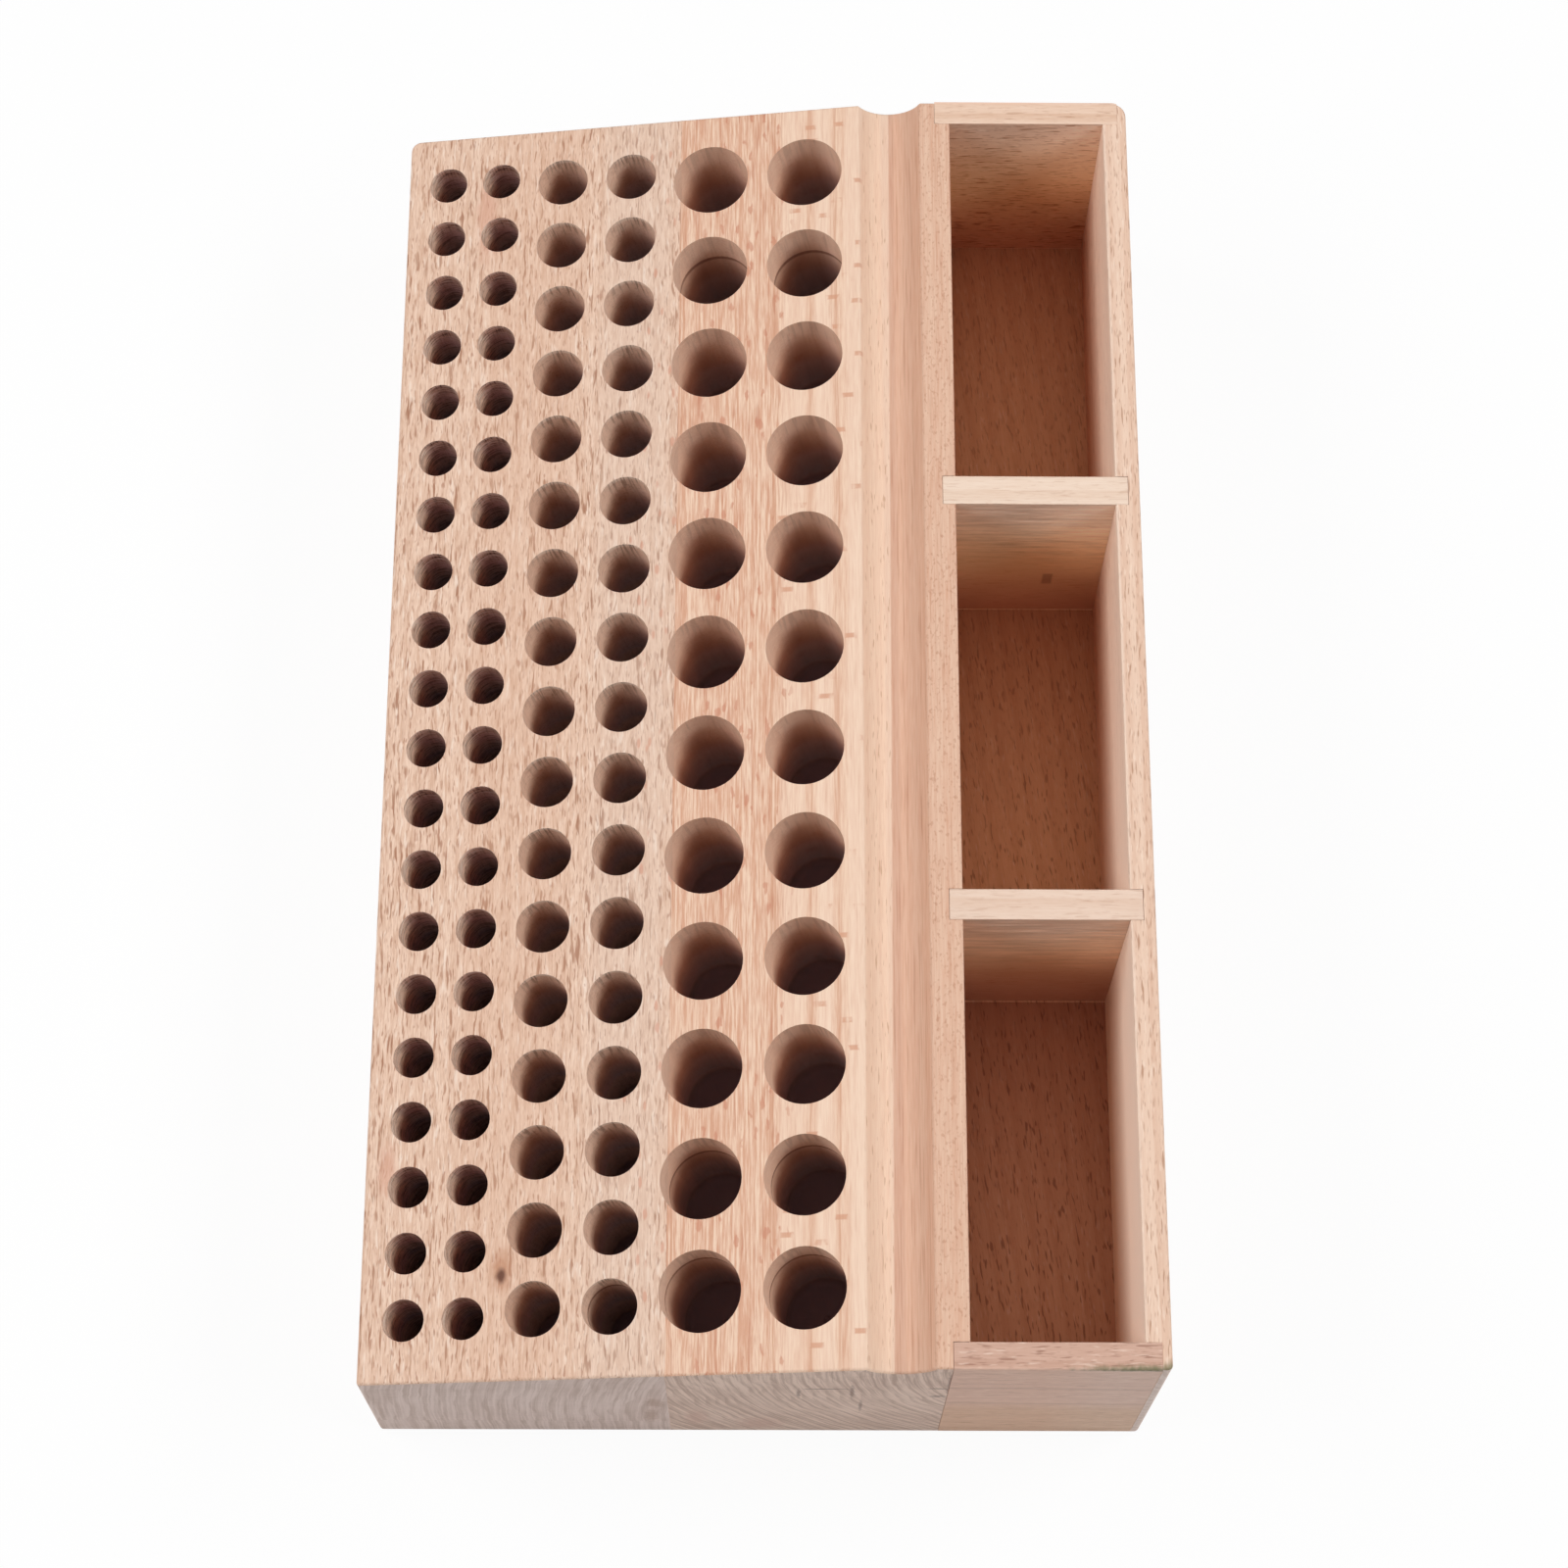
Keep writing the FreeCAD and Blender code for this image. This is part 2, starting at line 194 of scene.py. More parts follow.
def front_stave():
    edit = bmesh.new()
    section = [(FRONT, 0), (GLUE, 0), (GLUE, GLUE_TOP), (FRONT, FRONT_TOP)]
    face = outline_face(edit, [(-HALF_LENGTH, y, z) for y, z in section])
    extruded(edit, face, (2 * HALF_LENGTH, 0, 0))
    round_corner(edit, -HALF_LENGTH, FAR_CORNER)
    round_corner(edit, HALF_LENGTH, NEAR_CORNER)
    mark_arrises(edit, front_arris)
    return blank(edit, "front_stave_wood")


front_piece = front_stave()
print("front stave:", len(front_piece.data.vertices), "points before its arrises")

# %% [markdown]
# The rear stave is taller and carries the round groove. The groove's outline is one point spun about
# the groove's centre line, from its right lip down and up to the left lip, where it runs out into the
# slope.

# %% Rear stave with the groove
GROOVE_CENTRE = (25 * MM, 62.8 * MM)
GROOVE_RADIUS = 6.8 * MM
GROOVE_STEPS = 28
LIP = 0.35 * MM
TRAY_EDGE = 0.3 * MM


def groove_lips():
    """The angles, seen from the groove's centre, of its right lip and of its left lip on the slope."""
    centre_y, centre_z = GROOVE_CENTRE
    right = math.asin((TOP - centre_z) / GROOVE_RADIUS)
    depth = (centre_y - FRONT) * math.sin(SLOPE) - (centre_z - FRONT_TOP) * math.cos(SLOPE)
    left = math.pi + SLOPE - math.asin(depth / GROOVE_RADIUS)
    return right, left - 2 * math.pi


def rear_arris(middle):
    if on_plane(middle.y, GLUE):
        return HAIR
    if on_plane(middle.y, TRAY):
        return TRAY_EDGE
    beside_groove = abs(middle.y - GROOVE_CENTRE[0]) < GROOVE_RADIUS and middle.z > TOP - GROOVE_RADIUS
    return LIP if beside_groove and abs(middle.x) < HALF_LENGTH - MM else ARRIS


def rear_stave():
    edit = bmesh.new()
    right, left = groove_lips()
    centre = Vector((-HALF_LENGTH, *GROOVE_CENTRE))
    lip = edit.verts.new(centre + GROOVE_RADIUS * Vector((0, math.cos(right), math.sin(right))))
    turn = {"cent": centre, "axis": ALONG_X, "angle": left - right, "steps": GROOVE_STEPS}
    bmesh.ops.spin(edit, geom=[lip], use_duplicate=False, **turn)
    section = [(GLUE, GLUE_TOP), (GLUE, 0), (TRAY, 0), (TRAY, TOP)]
    corners = [edit.verts.new((-HALF_LENGTH, y, z)) for y, z in section]
    ends = [vert for vert in edit.verts if len(vert.link_edges) == 1]
    first = min(ends, key=lambda vert: vert.co.y)
    last = max(ends, key=lambda vert: vert.co.y)
    for start, stop in zip([first, *corners], [*corners, last]):
        edit.edges.new((start, stop))
    face = bmesh.ops.contextual_create(edit, geom=edit.edges[:])["faces"][0]
    extruded(edit, face, (2 * HALF_LENGTH, 0, 0))
    mark_arrises(edit, rear_arris)
    return blank(edit, "rear_stave_wood")


rear_piece = rear_stave()
print("rear stave:", len(rear_piece.data.vertices), "points before its arrises")

# %% [markdown]
# A drilled hole is a shape taken away, so it is modelled as its own solid: the outline of half a hole,
# spun about the drill's axis. The rims of the real holes are crisp, so the mouth flares by only a
# twentieth of a millimetre. The bottom is rounded where it meets the wall, with a dimple from the
# drill's point. Some holes were drilled in two goes and have a fine groove all round where the drill
# stopped. The places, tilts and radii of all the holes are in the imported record.
#
# The walls also get two maps while they are still simple to describe. One tells how far round the hole
# and how deep a point is, and the other marks the groove and what is below it. The finish of the walls
# reads them later.

# %% The holes as solids
BREAK = 0.05 * MM
BREAK_DEPTH = 0.12 * MM
BOTTOM_ROUND = 1.5 * MM
BOTTOM_STEPS = 4
ABOVE = 1.0 * MM
SPUR_RADIUS = 0.8 * MM
SPUR_DEPTH = 1.0 * MM
RING_OUT = 0.12 * MM
RING_HEIGHT = 1.0 * MM
RING_RUN = 1.3 * MM
RING_DEPTHS = {
    "large_hole_5_02": 8.0 * MM,
    "large_hole_6_02": 8.5 * MM,
    "large_hole_5_11": 9.0 * MM,
    "large_hole_6_11": 8.0 * MM,
    "large_hole_5_12": 6.0 * MM,
    "large_hole_6_12": 6.5 * MM,
    "medium_hole_4_17": 5.0 * MM,
}
SIDES = {"small": 32, "medium": 40, "large": 48}
BORE_MAP = "bore"
RING_MAP = "ring"


def hole_outline(radius, depth, ring):
    """Half a hole from above its mouth to its bottom, as distances from the axis and heights."""
    mouth = radius + BREAK
    points = [(0, ABOVE), (mouth, ABOVE), (mouth, 0), (radius, -BREAK_DEPTH)]
    if ring:
        points += [
            (radius, -ring),
            (radius + RING_OUT, -ring),
            (radius + RING_OUT, -ring - RING_HEIGHT),
            (radius, -ring - RING_RUN),
        ]
    for turn in range(BOTTOM_STEPS + 1):
        angle = math.pi / 2 * turn / BOTTOM_STEPS
        across = radius - BOTTOM_ROUND * (1 - math.cos(angle))
        points.append((across, -depth + BOTTOM_ROUND * (1 - math.sin(angle))))
    return points + [(SPUR_RADIUS, -depth), (0, -depth - SPUR_DEPTH)]


def spun_solid(edit, points, sides):
    """A closed solid of revolution about Z from half an outline."""
    verts = [edit.verts.new((across, 0, up)) for across, up in points]
    edges = [edit.edges.new(pair) for pair in zip(verts, verts[1:])]
    turn = {"cent": (0, 0, 0), "axis": (0, 0, 1), "angle": 2 * math.pi, "steps": sides}
    bmesh.ops.spin(edit, geom=verts + edges, use_merge=True, **turn)
    bmesh.ops.remove_doubles(edit, verts=edit.verts[:], dist=0.001 * MM)
    bmesh.ops.recalc_face_normals(edit, faces=edit.faces[:])


def map_walls(edit, radius, ring):
    """Maps the walls: turns about the axis, 0 at the far side, and depth in diameters.

    A second map is 1 across where a ring is cut, and 1 up below that ring."""
    layer = edit.loops.layers.uv.new(BORE_MAP)
    ring_layer = edit.loops.layers.uv.new(RING_MAP)
    for face in edit.faces:
        centre = face.calc_center_median()
        facing = math.atan2(centre.y, -centre.x)
        for loop in face.loops:
            place = loop.vert.co
            turn = math.atan2(place.y, -place.x) if place.xy.length > SPUR_RADIUS / 2 else facing
            turn = facing + math.remainder(turn - facing, 2 * math.pi)
            loop[layer].uv = (turn / (2 * math.pi), -place.z / (2 * radius))
            in_ring = on_plane(place.xy.length, radius + RING_OUT)
            below_ring = bool(ring) and place.z < -ring - RING_HEIGHT / 2
            loop[ring_layer].uv = (float(in_ring), float(below_ring))


def holes(name, wanted):
    """All the wanted holes as one object, with their faces marked as cut wood."""
    edit = bmesh.new()
    for mount in frame["record"]["mounts"]:
        if mount["kind"] != "bore" or not wanted(mount["name"]):
            continue
        depth = mount["dims"]["length_mm"] * MM
        axis = Vector(mount["axis"])
        mouth = Vector(mount["pos_m"]) + axis * depth / 2
        before = set(edit.verts)
        one = bmesh.new()
        radius = mount["dims"]["r_mm"] * MM
        ring = RING_DEPTHS.get(mount["name"])
        spun_solid(one, hole_outline(radius, depth, ring), SIDES[mount["name"].split("_")[0]])
        map_walls(one, radius, ring)
        copy = bpy.data.meshes.new("hole")
        one.to_mesh(copy)
        one.free()
        edit.from_mesh(copy)
        bpy.data.meshes.remove(copy)
        added = [vert for vert in edit.verts if vert not in before]
        lean = Matrix.Rotation(math.atan2(-axis.y, axis.z), 4, "X")
        bmesh.ops.transform(edit, matrix=Matrix.Translation(mouth) @ lean, verts=added)
    for face in edit.faces:
        face.material_index = CUT_WOOD
    return solid_object(edit, name)


front_holes = holes("front_holes", lambda name: "_6_" not in name)
rear_holes = holes("rear_holes", lambda name: name.startswith("large"))
print("hole solids:", len(front_holes.data.polygons), "and", len(rear_holes.data.polygons), "faces")

# %% [markdown]
# The tray's boards are let into the block and into the outer wall: rabbets for the end walls, upright
# dados for the dividers, and a long groove for the floor. Each is a box taken away. It is a few
# hundredths of a millimetre larger than the board that fits it, so that a fine dark joint line shows,
# as it does on the real stand.

# %% Joints as boxes
GAP = 0.06 * MM
BEYOND = 5 * MM


def box_solid(name, low, high):
    edit = bmesh.new()
    middle = (Vector(low) + Vector(high)) / 2
    size = Vector(high) - Vector(low)
    shape = Matrix.Translation(middle) @ Matrix.Diagonal((*size, 1))
    bmesh.ops.create_cube(edit, size=1, matrix=shape)
    return solid_object(edit, name)


def joint_box(node, low_out, high_out):
    """A box round a tray board, wider by the gap and carried past it where it is open."""
    low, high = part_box(node)
    low = [value - (BEYOND if out else GAP) for value, out in zip(low, low_out)]
    high = [value + (BEYOND if out else GAP) for value, out in zip(high, high_out)]
    return box_solid(node + "_joint", low, high)


def tray_joints():
    return [
        joint_box("near_end_wall", (0, 0, 1), (1, 0, 1)),
        joint_box("far_end_wall", (1, 0, 1), (0, 0, 1)),
        joint_box("near_divider", (0, 0, 0), (0, 0, 1)),
        joint_box("far_divider", (0, 0, 0), (0, 0, 1)),
        joint_box("tray_floor", (0, 0, 0), (0, 0, 0)),
    ]


joints = tray_joints()
print("joints:", [joint.name for joint in joints])

# %% [markdown]
# Booleans take the holes and joints out of the blanks. The result is applied, so that the finished
# piece is one plain mesh. Its faces are then sorted into wood seen along the grain, wood seen on its
# end, and the walls of holes, because each of these gets a finish of its own.

# %% Cut the pieces and finish them
SMOOTH_ANGLE = math.radians(40)


def cut(piece, solid):
    taken = piece.modifiers.new(solid.name, "BOOLEAN")
    taken.operation = "DIFFERENCE"
    taken.solver = "EXACT"
    taken.material_mode = "INDEX"
    taken.object = solid


def applied(piece):
    """Puts what the modifiers make into the piece's own mesh."""
    bpy.context.view_layer.update()
    evaluated = piece.evaluated_get(bpy.context.evaluated_depsgraph_get())
    mesh = bpy.data.meshes.new_from_object(evaluated)
    piece.modifiers.clear()
    piece.data = mesh
    mesh.name = piece.name


def finish_piece(piece, grain, nodes):
    """Sorts the faces by grain, smooths the softened edges and ties the piece to the model."""
    applied(piece)
    mesh = piece.data
    for face in mesh.polygons:
        if face.material_index != CUT_WOOD:
            face.material_index = END_GRAIN if abs(face.normal.dot(grain)) > 0.75 else LONG_GRAIN
    mesh.shade_smooth()
    mesh.set_sharp_from_angle(angle=SMOOTH_ANGLE)
    weigh = piece.modifiers.new("even shading", "WEIGHTED_NORMAL")
    weigh.keep_sharp = True
    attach(piece, BODY)
    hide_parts(*nodes)
    print(piece.name, len(mesh.polygons), "faces")


cut(front_piece, front_holes)
cut(rear_piece, rear_holes)
for joint in joints:
    cut(rear_piece, joint)
finish_piece(front_piece, ALONG_X, ["front_stave", "front_stave_base"])
finish_piece(rear_piece, ALONG_X, ["rear_stave", "rear_stave_base"])

# %% [markdown]
# The outer wall and the far end wall share a wide rounded corner. Their outlines are drawn from above:
# the round part is worked out by turning about the corner's centre, and each board takes its own
# stretch of it. The near corner is much sharper and lies in the outer wall alone. The end walls are
# thin, so their inner edges are only just broken.

# %% Tray walls
FAR_WALL_CORNER = 3 * MM
NEAR_WALL_CORNER = 1 * MM
BACK = cad_box[1][1]
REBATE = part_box("near_end_wall")[1].y
SHARED_TURN = math.asin((REBATE - BACK + FAR_WALL_CORNER) / FAR_WALL_CORNER)
CLOSE_EDGE = 0.12 * MM
OUTER_EDGE = 0.5 * MM
WALL_STEPS = 6


def corner_points(radius, start, stop):
    """Points of a rounded corner of this radius, between two angles about its centre."""
    centre_x = HALF_LENGTH - radius
    centre_y = BACK - radius
    turns = [start + (stop - start) * step / WALL_STEPS for step in range(WALL_STEPS + 1)]
    return [(centre_x + radius * math.cos(turn), centre_y + radius * math.sin(turn)) for turn in turns]


def outer_arris(middle):
    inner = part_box("near_end_wall")[0].x
    if on_plane(middle.y, REBATE) or on_plane(abs(middle.x), inner):
        return CLOSE_EDGE
    return TRAY_EDGE if on_plane(middle.y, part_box("outer_wall")[0].y) else OUTER_EDGE


def outer_wall():
    tray_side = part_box("outer_wall")[0].y
    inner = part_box("near_end_wall")[0].x
    near = [(inner, REBATE), (HALF_LENGTH, REBATE), *corner_points(NEAR_WALL_CORNER, 0, math.pi / 2)]
    far = [(inner, REBATE), *corner_points(FAR_WALL_CORNER, SHARED_TURN, math.pi / 2)]
    around = [(inner, tray_side), *near, *[(-x, y) for x, y in reversed(far)], (-inner, tray_side)]
    edit = bmesh.new()
    face = outline_face(edit, [(x, y, 0) for x, y in around])
    extruded(edit, face, (0, 0, TOP))
    mark_arrises(edit, outer_arris)
    wall = blank(edit, "outer_wall_wood")
    for joint in joints[2:]:
        cut(wall, joint)
    finish_piece(wall, ALONG_X, ["outer_wall"])
    return wall


def end_arris(middle):
    """Softer along the outer face of an end wall, and close at its joints and inside the tray."""
    at_end = on_plane(abs(middle.x), HALF_LENGTH)
    between_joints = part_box("near_end_wall")[0].y + MM < middle.y < REBATE - TRAY_EDGE
    return OUTER_EDGE if at_end and between_joints else CLOSE_EDGE


def end_wall(node, side):
    low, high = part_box(node)
    inner, outer = sorted((low.x, high.x), key=abs)
    corner = [(HALF_LENGTH, high.y)] if side > 0 else corner_points(FAR_WALL_CORNER, 0, SHARED_TURN)
    points = [(abs(inner), low.y), (abs(outer), low.y), *corner, (abs(inner), high.y)]
    edit = bmesh.new()
    face = outline_face(edit, [(side * x, y, 0) for x, y in points])
    extruded(edit, face, (0, 0, TOP))
    mark_arrises(edit, end_arris)
    wall = blank(edit, node + "_wood")
    cut(wall, joints[4])
    finish_piece(wall, ALONG_Y, [node])
    return wall


outer_piece = outer_wall()
near_end_piece = end_wall("near_end_wall", 1)
far_end_piece = end_wall("far_end_wall", -1)

# %% [markdown]
# The dividers and the floor are plain boards. They are still made from the model's own boxes, with
# their edges broken by a plane's single stroke.

# %% Dividers and floor
BOARD_EDGE = 0.15 * MM


def board(node, grain):
    edit = bmesh.new()
    low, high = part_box(node)
    plan = [(low.x, low.y), (low.x, high.y), (high.x, high.y), (high.x, low.y)]
    face = outline_face(edit, [(x, y, low.z) for x, y in plan])
    extruded(edit, face, (0, 0, high.z - low.z))
    mark_arrises(edit, lambda middle: BOARD_EDGE)
    piece = blank(edit, node + "_wood")
    finish_piece(piece, grain, [node])
    return piece


near_divider_piece = board("near_divider", ALONG_Y)
far_divider_piece = board("far_divider", ALONG_Y)
floor_piece = board("tray_floor", ALONG_X)

for solid in [front_holes, rear_holes, *joints]:
    bpy.data.objects.remove(solid)

# %% [markdown]
# From here on it is all about the wood. A material is a sum of many small patterns, and sums are easier
# to read as sums. This small class wraps a socket of a material, so that Python's own signs add Math
# nodes. Any other node comes from its one method.

# %% A socket that can be reckoned with


class Wire:
    def __init__(self, tree, socket):
        self.tree = tree
        self.socket = socket

    def node(self, kind, settings, inputs, output=0):
        """Adds a node: first its settings, then the values or wires that go into its sockets."""
        made = self.tree.nodes.new(kind)
        stops = settings.pop("stops", None)
        for name, value in settings.items():
            setattr(made, name, value)
        if stops:
            ramp_stops = made.color_ramp.elements
            while len(ramp_stops) < len(stops):
                ramp_stops.new(1.0)
            for element, (place, colour) in zip(ramp_stops, stops):
                element.position = place
                element.color = colour
        for name, value in inputs.items():
            if isinstance(value, Wire):
                self.tree.links.new(value.socket, made.inputs[name])
            else:
                made.inputs[name].default_value = value
        return Wire(self.tree, made.outputs[output]) if made.outputs else None

    def maths(self, operation, *values):
        return self.node("ShaderNodeMath", {"operation": operation}, dict(enumerate(values)))

    def __add__(self, other):
        return self.maths("ADD", self, other)

    def __sub__(self, other):
        return self.maths("SUBTRACT", self, other)

    def __rsub__(self, other):
        return self.maths("SUBTRACT", other, self)

    def __mul__(self, other):
        return self.maths("MULTIPLY", self, other)

    def __truediv__(self, other):
        return self.maths("DIVIDE", self, other)

    __radd__ = __add__
    __rmul__ = __mul__


print("a wire can be added, subtracted, multiplied and divided")

# %% [markdown]
# Wood is a pattern in space, not on a surface, and that is what makes a block look solid: the rings on
# its end run on as lines along its sides. So every pattern below is read from the piece's object
# coordinates, in millimetres, with X along the grain. A few short helpers make the patterns.

# %% Patterns of wood


def paint(red, green, blue):
    """A colour given as in a picture editor, turned into light."""
    values = [value / 255 for value in (red, green, blue)]
    linear = [v / 12.92 if v <= 0.04045 else ((v + 0.055) / 1.055) ** 2.4 for v in values]
    return (*linear, 1.0)


def mixed(first, second, amount, way="MIX"):
    """Two colours mixed. At least one of the three is a wire."""
    wire = next(item for item in (first, second, amount) if isinstance(item, Wire))
    settings = {"data_type": "RGBA", "blend_type": way, "clamp_factor": True}
    return wire.node("ShaderNodeMix", settings, {0: amount, 6: first, 7: second}, 2)


def layered(colour, *coats):
    """A colour with coats over it, each a picture editor's colour and how much of it there is."""
    for tone, amount in coats:
        colour = mixed(colour, paint(*tone), amount)
    return colour


def brightened(colour, amount):
    """A colour made lighter or darker by a factor."""
    return colour.node("ShaderNodeVectorMath", {"operation": "SCALE"}, {0: colour, "Scale": amount})


def step(value, low, high, start=0.0, stop=1.0):
    """A soft step from start to stop while the value goes from low to high."""
    inputs = {0: value, 1: low, 2: high, 3: start, 4: stop}
    return value.node("ShaderNodeMapRange", {"interpolation_type": "SMOOTHSTEP"}, inputs)


def stretched(place, along, across, seed):
    """Coordinates in which a lump of this length and width measures one."""
    inputs = {0: place, 1: (1 / along, 1 / across, 1 / across), 2: (seed * 7.3, seed * 3.1, seed * 5.7)}
    return place.node("ShaderNodeVectorMath", {"operation": "MULTIPLY_ADD"}, inputs)


def cloud(place, along, across, seed, detail=2.0, rough=0.5):
    """Soft noise with lumps of a length along the grain and a width across it."""
    where = stretched(place, along, across, seed)
    inputs = {"Vector": where, "Scale": 1.0, "Detail": detail, "Roughness": rough}
    return where.node("ShaderNodeTexNoise", {"noise_dimensions": "3D"}, inputs)


def flecks(place, along, across, size, seed, soft, metric="EUCLIDEAN"):
    """Scattered marks: 1 in the middle of each mark and 0 between them."""
    where = stretched(place, along, across, seed)
    inputs = {"Vector": where, "Scale": 1.0, "Randomness": 1.0}
    distance = where.node("ShaderNodeTexVoronoi", {"feature": "F1", "distance": metric}, inputs)
    return step(distance, size * (1 - soft), size, 1.0, 0.0)


def streaks(place, along, across, low, high, seed):
    """Thin dashes along the grain: 1 where soft noise is above a level."""
    return step(cloud(place, along, across, seed, 1.0), low, high)


def axis_of(place, index):
    """One of the three coordinates."""
    return place.node("ShaderNodeSeparateXYZ", {}, {0: place}, index)


def band(value, low, high, soft=0.5):
    """1 between two values and 0 outside them."""
    return step(value, low - soft, low + soft) * step(value, high - soft, high + soft, 1.0, 0.0)


def wandering(place, amount, along, across, seed):
    """The same place, pushed to and fro across the grain so that straight lines wander a little."""
    push = cloud(place, along, across, seed) - 0.5
    lift = cloud(place, along, across, seed + 11) - 0.5
    offset = place.node("ShaderNodeCombineXYZ", {}, {1: push * amount, 2: lift * amount})
    return place.node("ShaderNodeVectorMath", {"operation": "ADD"}, {0: place, 1: offset})


def from_pith(place, pith):
    """Distance from the pith, the line along the grain about which the rings run."""
    inputs = {0: place, 1: (0, 1, 1), 2: (0, -pith[0], -pith[1])}
    flat = place.node("ShaderNodeVectorMath", {"operation": "MULTIPLY_ADD"}, inputs)
    return flat.node("ShaderNodeVectorMath", {"operation": "LENGTH"}, {0: flat}, 1)


def rings(place, pith, spacing, seed, sway):
    """Growth rings: 0 in pale early wood, rising to 1 in the dark line that ends a year."""
    sway_of_rings = (cloud(place, 160, 14, seed, detail=1) - 0.5) * (sway * 2)
    years = (from_pith(place, pith) + sway_of_rings) / spacing
    part = years.maths("FRACT", years)
    return step(part, 0.25, 0.86) * step(part, 0.9, 1.0, 1.0, 0.0)


MOUTH_LEVEL = -Vector((0, FRONT, FRONT_TOP)).dot(HOLE_AXIS) / MM
UP_SLOPE = (0, math.cos(SLOPE), math.sin(SLOPE))
SLOPE_START = Vector((0, FRONT, FRONT_TOP)).dot(UP_SLOPE) / MM


def depth_below(place):
    """How far below the sloped top, in millimetres."""
    inward = place.node("ShaderNodeVectorMath", {"operation": "DOT_PRODUCT"}, {0: place, 1: -HOLE_AXIS}, 1)
    return inward - MOUTH_LEVEL


def up_slope(place):
    """How far up the slope from its low edge, in millimetres."""
    up = place.node("ShaderNodeVectorMath", {"operation": "DOT_PRODUCT"}, {0: place, 1: UP_SLOPE}, 1)
    return up - SLOPE_START


def spot(place, centre, size, ragged=0.5):
    """A soft mark about a centre: 1 in its middle and 0 outside."""
    moved = place.node("ShaderNodeVectorMath", {"operation": "SUBTRACT"}, {0: place, 1: centre})
    scaled = moved.node("ShaderNodeVectorMath", {"operation": "DIVIDE"}, {0: moved, 1: size})
    away = scaled.node("ShaderNodeVectorMath", {"operation": "LENGTH"}, {0: scaled}, 1)
    return step(away + (cloud(place, 2, 1.2, 3) - 0.5) * ragged, 0.25, 1.0, 1.0, 0.0)


def wood_material(name, offset, grain_turn=0.0):
    """An empty material, its coordinates on the piece in millimetres, and the same along the grain."""
    material = bpy.data.materials.new(name)
    material.use_nodes = True
    tree = material.node_tree
    tree.nodes.clear()
    source = Wire(tree, tree.nodes.new("ShaderNodeTexCoord").outputs["Object"])
    place = source.node("ShaderNodeMapping", {}, {"Vector": source, "Scale": (1 / MM, 1 / MM, 1 / MM)})
    turned = {"Vector": place, "Location": offset, "Rotation": (0, 0, math.radians(grain_turn))}
    grain = place.node("ShaderNodeMapping", {}, turned)
    return material, place, grain


RELIEF = 0.12 * MM
RELIEF_STRENGTH = 0.5


def finish_wood(material, colour, height, roughness):
    """Bare sanded wood: matt, with its relief in a Bump node."""
    relief = {"Height": height, "Distance": RELIEF, "Strength": RELIEF_STRENGTH}
    bump = height.node("ShaderNodeBump", {}, relief)
    inputs = {"Base Color": colour, "Roughness": roughness, "Normal": bump, "Specular IOR Level": 0.3}
    surface = colour.node("ShaderNodeBsdfPrincipled", {}, inputs)
    colour.node("ShaderNodeOutputMaterial", {}, {"Surface": surface})
    return material


print("patterns: clouds, flecks, rings and spots")

# %% [markdown]
# Beech along its grain: broad pale and pink bands, the fine dark lines of the rings, finer fibres, and
# the short dashes that its rays leave. The front stave is the paler one and full of dashes, wavy and
# slanting a little. The rear stave is more orange, with straight lines and red ray flecks.

# %% Long grain of the two staves
FRONT_PITH = (200.0, 10.0)
REAR_PITH = (90.0, 58.0)


def front_grain(place):
    """Colour, height and dashes of the front stave."""
    bent = wandering(place, 1.0, 5, 1.8, 1)
    level = up_slope(place) + (cloud(place, 90, 40, 10) - 0.5) * 6
    groups = cloud(place, 12, 3, 8)
    years = rings(bent, FRONT_PITH, 2.9, 3, 2.4)
    fibre = cloud(bent, 4, 0.32, 4, detail=3, rough=0.6)
    dashes = streaks(bent, 5.5, 0.62, 0.58, 0.72, 5) * (groups * 1.5 + 0.15)
    small = streaks(bent, 2.4, 0.40, 0.58, 0.72, 6)
    pale = streaks(bent, 4.5, 0.60, 0.58, 0.74, 7)
    pink = flecks(bent, 6, 2.0, 0.24, 9, soft=0.5) * band(level, 48, 58)
    warm = band(level, 17, 37, 4)
    grey = band(level, 42, 56, 3)
    colour = mixed(paint(239, 208, 186), paint(217, 178, 153), years * 0.3 + (fibre - 0.5) * 3.5 + 0.4)
    colour = layered(
        colour,
        ((248, 228, 212), pale * 0.6),
        ((172, 124, 98), dashes * 0.95),
        ((182, 134, 110), small * 0.8),
        ((218, 172, 144), warm * 0.22),
        ((226, 204, 188), grey * 0.25),
        ((212, 154, 130), pink * 0.7),
    )
    height = fibre * 0.5 - dashes * 0.6 - small * 0.4
    return colour, height, dashes


def front_beech():
    material, place, grain = wood_material("pale_beech_face", (0, 0, 0))
    colour, height, dashes = front_grain(grain)
    knot_halo = spot(place, (109.6, -47.4, 48.1), (6, 2.6, 6))
    knot = spot(place, (110.6, -47.4, 48.1), (2.0, 1.4, 4))
    colour = layered(colour, ((192, 136, 104), knot_halo * 0.75), ((100, 60, 44), knot * 0.95))
    for centre, size in (((-110, -57, 46.4), (14, 3, 4)), ((90, -69.4, 44.4), (7, 2.4, 4))):
        colour = mixed(colour, paint(214, 160, 136), spot(place, centre, size) * 0.6)
    return finish_wood(material, colour, height - knot, dashes * 0.08 + 0.62)


